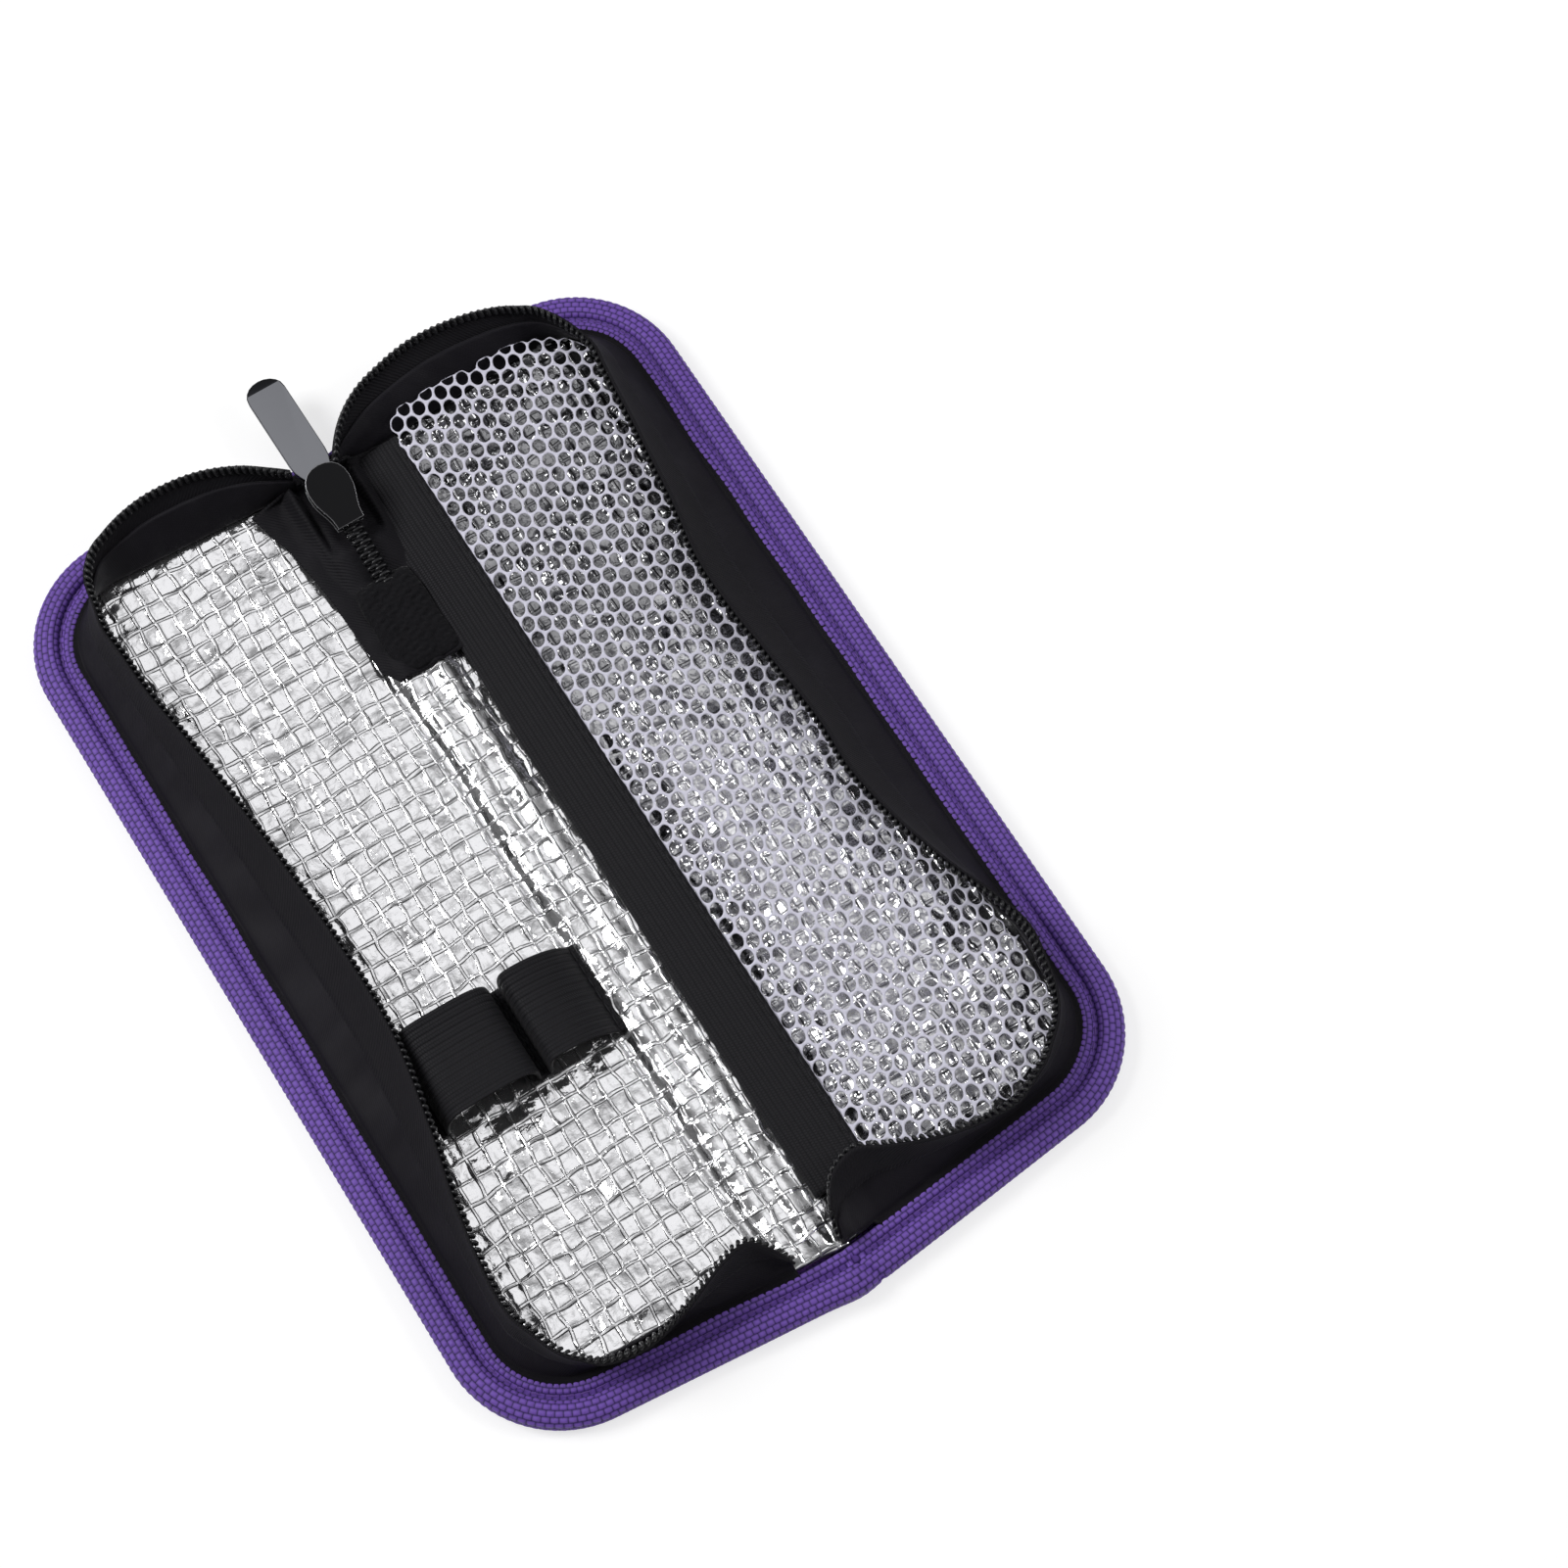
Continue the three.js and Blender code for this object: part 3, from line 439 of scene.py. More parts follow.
def foil_material(name, painted_shade=False):
    """Mirror film pressed over a grid of thin threads that pass over and under. For the pocket, the
    film's colour is darkened with painted shade, most at both ends of the pocket and beside its
    mouth, standing in for the dark surroundings that its cells would mirror."""
    k = Principled(name, color=(*FILM_BRIGHT, 1), metallic=0.95)

    def thread(value, pitch):
        """Ridge of the nearest thread, and that thread's number."""
        cell = k.div(value, pitch * MM)
        number = k.math("ROUND", cell)
        distance = k.mul(k.math("ABSOLUTE", k.sub(cell, number)), pitch)
        inside = k.most(k.sub(1.0, k.div(distance, THREAD_REACH)), 0.0)
        return k.math("SMOOTH_MIN", k.mul(inside, 1.9), 1.0, 0.35), number

    u, v, _ = k.coords("UV")
    ridge_u, number_u = thread(u, CELL_X)
    ridge_v, number_v = thread(v, CELL_Y)
    dip = k.mul(k.math("FLOORED_MODULO", k.add(number_u, number_v), 2.0), 0.3)
    threads = k.most(k.mul(ridge_u, k.add(0.7, dip)), k.mul(ridge_v, k.sub(1.0, dip)))
    fine = k.noise(650.0, 3.0, "UV")
    k.set(
        rough=k.add(0.10, k.mul(threads, 0.12)),
        normal=k.bump(k.add(k.mul(threads, 0.8), k.mul(fine, 0.55)), 0.3),
    )
    if painted_shade:
        # Painted shade: darker film at both ends of the pocket and beside its mouth, in uneven
        # patches
        x, y, _ = k.coords("Object")
        to_far = k.div(k.add(y, 0.005), 0.045)
        to_near = k.div(k.sub(-0.045, y), 0.09)
        to_mouth = k.div(k.sub(0.024, x), 0.016)
        shade_mask = k.clamp(k.most(k.most(to_far, to_near), to_mouth))
        patchy = k.mul(k.sub(k.noise(160.0), 0.5), 1.3)
        k.set(color=k.mix_color(k.clamp(k.add(shade_mask, patchy)), FILM_BRIGHT, FILM_PAINTED_SHADE))
    return k.material


foil = foil_material("grid_foil")
# The pocket's film carries painted shade
pocket_foil = foil_material("pocket_foil", painted_shade=True)


# ---- what a piece stands for, and where it rides ----

def dress(obj, where, slot_name, *nodes):
    """slot_name is not used. Hide the nodes that a piece stands for.
    A piece of either side has its place baked in, and any other rides on the one body that where
    names."""
    if nodes:
        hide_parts(*nodes)
    if where == -1:
        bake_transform(obj)
    elif where == 1:
        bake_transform(obj)
    else:
        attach(obj, where)


# ---- sheets that fill one half ----

ROW_FADE = 30.0
# The first and last rows lie this far inside the edge, whose line isn't quite straight
ROW_MARGIN = 0.09


def edge_reach(edge, y, top, bottom):
    """Furthest distance from the spine at which the row that starts at y is inside the edge."""
    far_lift = max(0.0, 1 - (top - y) / ROW_FADE)
    near_lift = max(0.0, 1 - (y - bottom) / ROW_FADE)
    slope = FAR_SLOPE * far_lift + NEAR_SLOPE * near_lift
    x = np.abs(edge[:, 0])
    d = edge[:, 1] - slope * x - y
    best = 0.0
    for i in np.nonzero(d[:-1] * d[1:] <= 0)[0]:
        step = d[i + 1] - d[i]
        t = 0.0 if abs(step) < 1e-9 else -d[i] / step
        best = max(best, x[i] + (x[i + 1] - x[i]) * t)
    return best, slope


def half_sheet(name, side, inset, z_of, material, step, start=0.0, uv_of=None):
    """A sheet from start past the spine's middle line to an inset from one half's edge."""
    pts, outs, *_ = half_path(side, CORNER_R - inset, 2.0)
    edge = pts - outs * inset
    top, bottom = edge[0, 1], edge[-1, 1]
    rows = int((top - bottom) / step)
    cols = int((HALF_WIDTH - inset) / step)
    grid = np.zeros((rows + 1, cols + 1, 3))
    to_edge = np.zeros((rows + 1, cols + 1))
    for i in range(rows + 1):
        y = top - ROW_MARGIN + (bottom - top + 2 * ROW_MARGIN) * i / rows
        reach, slope = edge_reach(edge, y, top, bottom)
        x = np.linspace(-start, reach, cols + 1)
        grid[i, :, 0] = x * side
        grid[i, :, 1] = y + x * slope
        to_edge[i] = np.minimum(reach - x, min(top - y, y - bottom))
    if side > 0:
        grid, to_edge = grid[:, ::-1], to_edge[:, ::-1]
    x, y = grid[..., 0], grid[..., 1]
    grid[..., 2] = z_of(x, y, np.maximum(to_edge, 0))
    uv = np.stack(uv_of(x, y), 2) if uv_of else grid[..., :2].copy()
    return grid_mesh(name, grid, uv, material)


# ---- walls, the same as the frame's gusset ----

FULL_HEIGHT = 585


def wall_rows(*rows):
    """Rows of a wall's table: place along the seam, lean and height in thousandths, with the
    full height where it is left out."""
    return np.array([(*row, FULL_HEIGHT)[:3] for row in rows]) / 1000


BASE_WALL = wall_rows(
    (0, 35, 490), (9, -75, 500), (30, -280, 540), (60, -420, 580),
    (95, -450), (122, -370), (146, -200), (161, -20),
    (187, 290), (235, 395), (277, 430), (330, 535),
    (443, 700), (569, 750), (647, 570), (701, 390),
    (765, 265), (812, 290), (850, 60), (864, -90),
    (892, -130), (922, 25), (954, 290), (976, 380, 540),
    (990, 240, 400), (1000, 40, 250),
)
LID_WALL = wall_rows(
    (-38, 200, 430), (-21, -160, 490), (3, -440, 480), (33, -540, 550),
    (63, -570), (98, -500), (127, -350), (146, -150),
    (161, 90), (180, 280), (215, 420), (282, 545),
    (348, 675), (397, 800), (440, 800), (472, 760),
    (542, 690), (585, 710), (631, 605), (677, 405),
    (712, 200), (742, 90), (770, 155), (798, 240),
    (839, 240), (862, 120), (886, -10), (910, 35),
    (939, 190), (974, 480, 570), (990, 630, 530), (1003, 640, 490),
    (1014, 575, 420), (1022.5, 430, 340), (1027.2, 230, 220), (1028.6, 60, 80),
)
WALLS = {-1: BASE_WALL, 1: LID_WALL}
FLANGE = 1.8
TOE_SHARE = 0.12


def table_at(rows, share):
    """Smooth curve through the rows: lean share and height share at a share of the seam."""
    i = next((k for k, row in enumerate(rows) if row[0] > share), len(rows)) - 1
    i = min(max(i, 0), len(rows) - 2)
    step = rows[i + 1][0] - rows[i][0]
    t = (share - rows[i][0]) / step
    r = 1 - t
    before, after = rows[max(i - 1, 0)], rows[min(i + 2, len(rows) - 1)]
    found = []
    for c in (1, 2):
        m0 = (rows[i + 1][c] - before[c]) / (rows[i + 1][0] - before[0]) * step
        m1 = (after[c] - rows[i][c]) / (after[0] - rows[i][0]) * step
        found.append(
            rows[i][c] * (1 + 2 * t) * r * r + m0 * t * r * r
            + rows[i + 1][c] * t * t * (1 + 2 * r) - m1 * t * t * r
        )
    return found


class Wall:
    """The wall of one half as a smooth surface, from its flange under the binding to its rim."""

    def __init__(self, side, step):
        seam_r = CORNER_R - SEAM_INSET
        pts, outs, dist, own = half_path(side, seam_r, step, PANEL_X)
        far, near = ((CORNER_X - PANEL_X) * math.hypot(1, s) for s in (FAR_SLOPE, NEAR_SLOPE))
        runs = [far, *own[1:4], near]
        breaks = np.concatenate([[0], np.cumsum(runs)])
        self.length = breaks[-1]
        share = np.interp(dist, np.concatenate([[0], np.cumsum(own)]), breaks) / self.length
        rows = WALLS[side]
        # The wall goes on past the seam's ends where its table does, towards the fold
        ends = ((0, -rows[0][0], far_y, 1), (len(share), rows[-1][0] - 1, near_y, -1))
        for place, past, y_at, out in reversed(ends):
            n = int(past * self.length / step) + 1 if past > 0 else 0
            for i in range(1, n + 1) if out < 0 else range(n, 0, -1):
                d = past * i / n
                x = PANEL_X - d * self.length
                pts = np.insert(pts, place, (side * x, y_at(x)), 0)
                outs = np.insert(outs, place, (0, out), 0)
                share = np.insert(share, place, -d if out > 0 else 1 + d)
                place += 1
        self.pts, self.outs, self.share = pts, outs, share
        data = np.array([table_at(rows, s) for s in share])
        self.lean, self.height = data.T * GUSSET_WIDTH

    def profile(self, i, rises):
        """Inset and height of the wall's middle surface at rises; below 0 is the flange."""
        r = np.asarray(rises, float)
        past = max(-self.share[i], self.share[i] - 1, 0) * self.length
        foot = WALL_FOOT
        if past > 0:
            foot = FOLD_Z - math.sqrt(max(FOLD_SWEEP ** 2 - past ** 2, 0))
            foot = min(max(WALL_FOOT, foot), WALL_FOOT + 0.6 * self.height[i])
        rim = WALL_FOOT + 0.15 + self.height[i]
        up = np.clip(r, 0, None)
        soft = np.where(up < TOE_SHARE, up * up / (2 * TOE_SHARE), up - TOE_SHARE / 2)
        soft = soft / (1 - TOE_SHARE / 2)
        part = clamp(up)
        inset = SEAM_INSET + self.lean[i] * soft + BULGE * 4 * part * (1 - part)
        flange = clamp(-r) * (FLANGE if past <= 0 else 0.2)
        z = foot + (rim - foot) * up + clamp(-r) * 0.12
        return inset - flange, z

    def surface(self, rises, off, wrinkle=0.0, seed=3):
        """Points of the wall at rises, moved off towards the inside of the case."""
        rises = np.asarray(rises, float)
        pts = np.zeros((len(self.share), len(rises), 3))
        for i in range(len(self.share)):
            inset, z = self.profile(i, rises)
            after, z_after = self.profile(i, rises + 0.01)
            d = unit(np.stack([after - inset, z_after - z], 1))
            along = self.share[i] * self.length
            fold = ripple(along, rises * 9, 15.0, seed)
            fold = fold + 0.5 * ripple(along, rises * 12, 6.0, seed + 1)
            push = off + wrinkle * fold * np.sin(clamp(rises) * math.pi) ** 0.7
            a = inset + d[:, 1] * push
            pts[i, :, :2] = self.pts[i] - self.outs[i] * a[:, None]
            pts[i, :, 2] = z - d[:, 0] * push
        return pts


walls = {side: Wall(side, 1.2) for side in (-1, 1)}


def wall_piece(name, side, rises, off, thickness, material, wrinkle, seed):
    w = walls[side]
    v = np.asarray(rises)[None, :] * np.hypot(w.lean, w.height).mean()
    uv = as_uv((w.share * w.length)[:, None], v)
    obj = grid_mesh(name, w.surface(rises, off, wrinkle, seed), uv, material)
    return solidify(orient_out(obj), thickness)


# ---- zipper coils ----

TURN_PITCH = 1.45
TURN_SLANT = 0.2
WIRE = 0.4


def coil_turns(name, centres, across, up, forward, width, height):
    """One closed loop of wire for each turn; across points to the turn's head."""
    n_loop, n_wire = 14, 6
    loop = np.linspace(0, 2 * math.pi, n_loop, endpoint=False)
    ring = np.linspace(0, 2 * math.pi, n_wire, endpoint=False)
    verts, faces = [], []
    for c, a, b, f in zip(centres, across, up, forward):
        faces += grid_faces(n_loop, n_wire, wrap=True, close=True, start=len(verts))
        for t in loop:
            ct, st = math.cos(t), math.sin(t)
            px = math.copysign(abs(ct) ** 0.8, ct) * (width / 2 - WIRE)
            pz = math.copysign(abs(st) ** 0.9, st) * (height / 2 - WIRE)
            radial = a * ct + b * st
            middle = c + a * px + b * pz + f * (TURN_SLANT * TURN_PITCH * st)
            fat = WIRE * (1.12 if ct > 0.6 else 1.0)
            for s in ring:
                verts.append(middle + (radial * math.cos(s) + f * math.sin(s)) * fat)
    return make_mesh(name, verts, faces, coil_nylon)


def rim_frames(side):
    """Centres and directions of the turns along a rim."""
    pts = walls[side].surface([0.96, 1.0], 0.0)
    edge = pts[:, 1]
    run = run_along(edge)
    n = int(run[-1] / TURN_PITCH)
    at = (np.arange(n) + 0.5) * run[-1] / n
    c = points_at(edge, run, at)
    up = unit(points_at(edge - pts[:, 0], run, at))
    f = unit(np.gradient(c, axis=0))
    return c, up, f, side * unit(np.cross(f, up))


for side, name in NAMES.items():
    rises = np.concatenate([[-1, -0.5], np.linspace(0, 0.72, 16)])
    gusset = wall_piece(f"{name}_gusset_cloth", side, rises, 0.0, 0.6, gusset_cloth, 0.3, 11 + side)
    dress(gusset, side, "gusset_fabric", f"{name}_gusset")
    rises = np.linspace(0.5, 1.0, 9)
    tape = wall_piece(
        f"{name}_zipper_tape_cloth", side, rises, -0.7, 0.5, tape_cloth, 0.12, 21 + side
    )
    dress(tape, side, "zipper_tape", f"{name}_zipper_tape")
    c, up, f, inward = rim_frames(side)
    centres = c + inward * 0.15 - up * 0.4
    coil = coil_turns(f"{name}_coil_turns", centres, up, inward, f, 2.0, 1.5)
    dress(coil, side, "zipper_coil", f"{name}_zipper_coil")


# ---- binding: folded webbing with real yarn relief ----

GROOVE_INSET = BINDING_WIDTH - 2.85
# Radius of the fold over the edge
EDGE_R = 2.3


def webbing_section():
    """Outline of the folded webbing as inset and height, from the inner lip over the edge, the
    points of its back, and the distance along the outline."""
    dense = []
    for inset in np.linspace(BINDING_WIDTH, EDGE_R, 40):
        groove = 1.05 * bell(inset - GROOVE_INSET, 0.75)
        lip = 0.35 * max(0.0, (inset - BINDING_WIDTH + 0.6) / 0.6) ** 2
        crown = 0.5 * math.sin(math.pi * min(1, max(0, (inset - 1.5) / (GROOVE_INSET - 0.8))))
        dense.append((inset, BINDING_TOP - 0.3 + crown - groove - lip))
    half = BINDING_TOP / 2
    for a in np.radians(np.linspace(70, -80, 30)):
        dense.append((EDGE_R - EDGE_R * math.cos(a), half + (half - 0.1) * math.sin(a)))
    dense = np.array(dense + [(2.6, 0.08), (BINDING_UNDER, 0.08)])
    run = run_along(dense)
    at = np.linspace(0, run[-1], int(run[-1] / 0.34))
    back = np.array([
        (BINDING_UNDER, 0.8), (2.6, 0.8), (1.4, half), (2.6, BINDING_TOP - 1.0),
        (BINDING_WIDTH, BINDING_TOP - 0.85),
    ])
    return points_at(dense, run, at), back, at


def yarn_height(along, across):
    """Height from 0 to 1 of the webbing's yarns, the same as the bump in its material."""
    column = np.floor(across / YARN_ACROSS)
    shift = np.mod(column, 2) * 0.5
    fu = 2 * np.mod(along / YARN_ALONG + shift, 1) - 1
    fv = 2 * np.mod(across / YARN_ACROSS, 1) - 1
    return (1 - np.abs(fu) ** 4) * (1 - np.abs(fv) ** 3)


outer_section, back_section, outer_run = webbing_section()
section_normal = unit(np.gradient(outer_section, axis=0)[:, ::-1] * (1, -1))


def far_notch(pts, inset):
    """How far the far edge is pulled in where the spine folds; the inner lip stays."""
    shape = bell(pts[:, 0] + 4.5, 11.5, 4) * (pts[:, 1] > 0)
    return 5.0 * shape[:, None] * clamp(1 - inset / BINDING_WIDTH)


def binding_piece(side):
    pts, outs, dist, _ = half_path(side, CORNER_R - 4.0, 0.34)
    soft = np.abs(pts[:, 0]) - np.sqrt(pts[:, 0] ** 2 + 16) + 4
    near = pts[:, 1:] < 0
    pts[:, 1] -= NEAR_SLOPE * soft * near[:, 0]
    relief = (yarn_height(dist[:, None], outer_run[None, :]) - 0.6) * YARN_RELIEF
    relief[:, [0, 1, -2, -1]] *= 0.4

    def section(axis):
        outer = outer_section[:, axis] + section_normal[:, axis] * relief
        return np.hstack([outer, np.repeat(back_section[None, :, axis], len(pts), 0)])

    inset, z = section(0), section(1)
    wave = 0.16 * ripple(dist, 0.0, 24.0, 31 + side)[:, None]
    inset = inset + wave * clamp((inset - 5) / 3)
    # Where the near ends of both halves meet: a soft hump and a slanting crease
    hump = bell(pts[:, :1] + 1.2, 4.2) * near
    crease = bell(pts[:, :1] - 2.2 + (inset - 4) * 0.45, 0.6) * near
    inset = inset - hump * 0.45 * clamp(1 - inset / 7) + crease * 0.25 * clamp(1 - inset / 4)
    z = z + hump * 0.55 * (z > 3) - crease * 0.8 * (z > 3.2)
    x = pts[:, :1] - outs[:, :1] * inset
    y = pts[:, 1:] - outs[:, 1:] * inset - far_notch(pts, inset)
    run = np.concatenate([outer_run, outer_run[-1] + 3.0 * np.arange(1, len(back_section) + 1)])
    binding = grid_mesh(
        f"{NAMES[side]}_binding_webbing", np.stack([x, y, np.maximum(z, 0.03)], 2),
        as_uv(dist[:, None], run[None, :]), webbing, wrap=True, caps=True,
    )
    orient_out(binding)
    spine_ends = ["spine_binding_near", "spine_binding_far"] * (side > 0)
    dress(binding, side, "binding_webbing", f"{NAMES[side]}_binding", *spine_ends)


STITCH_GAP = 0.8
# A stitch's rings: place along it, and share of its radius
STITCH_RINGS = ((0.0, 0.35), (0.12, 0.85), (0.5, 1.0), (0.88, 0.85), (1.0, 0.35))


def stitch_mesh(verts, faces, a, b, radius, lift, n=6):
    """Add a short thread from a to b with rounded ends."""
    d = unit(b - a)
    across = unit(np.cross(d, [0, 0, 1.0]))
    normal = np.cross(across, d)
    base, last = len(verts), len(verts) + (len(STITCH_RINGS) - 1) * n
    for t, r in STITCH_RINGS:
        c = a + (b - a) * t + normal * lift * math.sin(math.pi * t)
        for angle in np.arange(n) * 2 * math.pi / n:
            verts.append(c + (across * math.cos(angle) + normal * math.sin(angle)) * radius * r)
    faces += grid_faces(len(STITCH_RINGS), n, wrap=True, start=base)
    faces += [tuple(range(base, base + n))[::-1], tuple(range(last, last + n))]


def seam(name, side, x, y, z, length, radius, lift, material=black_thread, slot_name="elastic"):
    """A row of stitches along a line of points, with gaps between them."""
    line = np.stack(np.broadcast_arrays(x, y, z), 1).astype(float)
    run = run_along(line)
    verts, faces = [], []
    s = STITCH_GAP
    while s + length < run[-1] - STITCH_GAP:
        a, b = points_at(line, run, [s, s + length])
        stitch_mesh(verts, faces, a, b, radius, lift)
        s += length + STITCH_GAP
    dress(orient_out(make_mesh(name, verts, faces, material)), side, slot_name)


for side, name in NAMES.items():
    binding_piece(side)
    pts, outs, *_ = half_path(side, CORNER_R - GROOVE_INSET, 0.5)
    pts[:, 1] -= far_notch(pts, GROOVE_INSET)[:, 0]
    x, y = (pts - outs * GROOVE_INSET).T
    seam(
        f"{name}_binding_stitches", side, x, y, BINDING_TOP - 1.0, 2.3, 0.17, 0.1,
        stitch_thread.material, "binding_webbing",
    )


# ---- cover, foam and foil ----

COVER_INSET = 8.8
FOAM_INSET = 9.6
LINER_INSET = 9.0
# The liner of each half starts this far past the spine's middle line
LINER_START = {-1: 2.2, 1: -1.6}
LINER_FOOT = 3.5
# How much more than the open film the film under the net is crumpled
NET_CRUMPLE = 0.9


def cover_height(x, y, to_edge):
    return 0.12 + 0.1 * (ripple(x, y, 26.0, 8) + 1) * 0.5


def foam_height(x, y, to_edge):
    return np.full_like(x, 1.4)


def foil_grid(x, y):
    """Position in the foil's woven grid, which runs a little unevenly."""
    u = x + 0.45 * ripple(x, y, 26.0, 51) + 0.28 * ripple(x, y, 7.0, 52)
    v = y + 0.45 * ripple(x, y, 26.0, 53) + 0.28 * ripple(x, y, 7.0, 54)
    return u, v


def spine_roll(x, y):
    """Two soft rolls of the liner over the spine, with a crease at their base side."""
    wander = 0.6 * ripple(y, 0.0, 45.0, 58)
    fade = clamp((99 - np.abs(y)) / 10)
    across = x + wander
    roll = 0.85 + 0.42 * np.cos((across + 9.3) * 2 * math.pi / 6.6)
    roll = roll * bell(across + 5.9, 6.2, 4)
    crease = bell(across + 12.9, 1.0)
    slope = clamp((x + 3.2) / 3.5) * clamp((y - 5) / 15)
    return (1.05 * roll - 0.85 * crease - 1.35 * slope) * fade


def foil_height(x, y, to_edge):
    """Film over a woven grid: raised threads, uneven pillowed cells and soft puckers."""
    u, v = foil_grid(x, y)
    cu, cv = np.floor(u / CELL_X), np.floor(v / CELL_Y)
    fx, fy = u - (cu + 0.5) * CELL_X, v - (cv + 0.5) * CELL_Y
    edge_x, edge_y = CELL_X / 2 - np.abs(fx), CELL_Y / 2 - np.abs(fy)
    ridge = np.maximum(bell(edge_x, 0.4), bell(edge_y, 0.4))

    def cell_random(k):
        value = np.sin(cu * 12.9898 + cv * 78.233 + k * 37.719) * 43758.5453
        return value - np.floor(value)

    far, near = clamp((y - 5) / 60), clamp((-35 - y) / 50)
    beside = bell(np.maximum(x - 14, 0), 8) * clamp((y + 100) / 60)
    under_net = NET_CRUMPLE * clamp((x - 6) / 6)
    crush = 1 + under_net * (1.8 * far + 0.4 * near + 1.2 * beside * (1 - far) - 0.1)
    tilt = ((cell_random(1) - 0.5) * fx + (cell_random(2) - 0.5) * fy) * 0.26 * crush
    dome = (1 - (2 * fx / CELL_X) ** 2) * (1 - (2 * fy / CELL_Y) ** 2)
    z = 0.12 * ridge + tilt + (cell_random(3) - 0.35) * 0.34 * dome
    z = z + 0.3 * ripple(x, y, 24.0, 5) + 0.12 * ripple(x, y, 9.0, 6)
    fine = 0.075 * ripple(x, y, 2.6, 55) + 0.03 * ripple(x, y, 1.5, 56)
    z = z + fine * (2.2 * crush - 1.2)
    z = LINER_TOP - 0.3 + z * (1 + under_net) + spine_roll(x, y)
    drop = clamp(1 - to_edge / 4.0) ** 2
    return np.maximum(z * (1 - drop) + LINER_FOOT * drop, 2.6)


for side, name in NAMES.items():
    # The spine's cover and liner go with the base half's, and its foam with the lid's
    with_base = side < 0
    cover = half_sheet(f"{name}_cover_cloth", side, COVER_INSET, cover_height, oxford, 2.0)
    solidify(cover, 0.5, 1.0)
    dress(cover, side, "cover_fabric", f"{name}_cover", *["spine_cover"] * with_base)
    foam = half_sheet(f"{name}_foam_sheet", side, FOAM_INSET, foam_height, foam_white, 4.0)
    solidify(foam, 0.9, 1.0)
    dress(foam, side, "foam", f"{name}_foam", *["spine_foam"] * (not with_base))
    film, start = foil if with_base else pocket_foil, LINER_START[side]
    liner = half_sheet(
        f"{name}_liner_foil", side, LINER_INSET, foil_height, film, 0.45, start, foil_grid
    )
    solidify(liner, 0.25, -1.0)
    dress(liner, side, "foil", f"{name}_foil_liner", *["spine_foil_liner"] * with_base)


# ---- pen loops ----

LOOP_RIB = 1.6
LOOP_SEAM = 0.9
# Height of the elastic's middle where it is sewn to the liner
LOOP_FOOT = 4.7


def box_mm(node):
    """Corners of a node's box in millimetres."""
    lo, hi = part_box(node)
    return np.array(lo) / MM, np.array(hi) / MM


def rib_relief(ribs, steps, depth):
    """Place across a ribbed elastic, counted in ribs, and the relief there."""
    v = np.linspace(0, ribs, ribs * steps + 1)
    return v, depth * np.abs(np.sin(math.pi * v)) ** 0.7


def arch_line(left, right, height, peak, left_power, right_power):
    start, end = left + LOOP_SEAM, right - LOOP_SEAM
    peak_x = start + (end - start) * peak
    a = np.linspace(0, math.pi, 49)
    c, s = np.cos(a), np.sin(a)
    before = c > 0
    x = np.where(
        before,
        peak_x - (peak_x - start) * np.abs(c) ** left_power[0],
        peak_x + (end - peak_x) * np.abs(c) ** right_power[0],
    )
    bow = np.where(before, s ** left_power[1], clamp(s) ** right_power[1])
    x = np.concatenate([[left - 0.3, left + 0.6], x, [right - 0.6, right + 0.3]])
    z = LOOP_FOOT + np.concatenate([[0, 0], (height - 0.5) * bow, [0, 0]])
    line = np.stack([x, z], 1)
    run = run_along(line)
    at = np.linspace(0, run[-1], 70)
    return points_at(line, run, at), at


def loop_piece(node, height, peak, left_power, right_power):
    """One pen loop; returns the range of its width and where its seam lies."""
    lo, hi = box_mm(node)
    line, run = arch_line(lo[0], hi[0], height, peak, left_power, right_power)
    x, z = line[:, :1], line[:, 1:]
    along = np.gradient(line, axis=0)
    normal = unit(np.stack([-along[:, 1], along[:, 0]], 1))
    ribs = int(round((hi[1] - lo[1]) / LOOP_RIB))
    v, rib = rib_relief(ribs, 7, 0.15)
    across = (hi[1] - lo[1]) * v / ribs
    sag = 0.5 * np.sin(np.linspace(0, math.pi, len(v))) - 0.2
    pts = np.zeros((len(x), len(v), 3))
    pts[..., 0] = x + normal[:, :1] * rib
    pts[..., 1] = lo[1] + across
    pts[..., 2] = z + normal[:, 1:] * rib - clamp((z - LOOP_FOOT) / height) * sag
    uv = as_uv(run[:, None], across[None, :])
    obj = solidify(orient_out(grid_mesh(node + "_elastic", pts, uv, elastic_cloth)), 0.8, -1.0)
    dress(obj, -1, "elastic", node)
    return lo[1], hi[1], hi[0]


loop_y0, loop_y1, valley_x = loop_piece("pen_loop_outer", 10.2, 0.3, (0.65, 0.75), (0.6, 0.5))
*_, foot_x = loop_piece("pen_loop_inner", 8.6, 0.2, (0.55, 0.55), (1.0, 1.6))
for name, x in (("valley", valley_x), ("foot", foot_x - 0.6)):
    y = np.linspace(loop_y0 + 0.5, loop_y1 - 0.5, 40)
    seam(f"pen_loop_{name}_stitches", -1, x, y, LOOP_FOOT + 0.45, 2.2, 0.16, 0.08)


# ---- elastic along the pocket ----

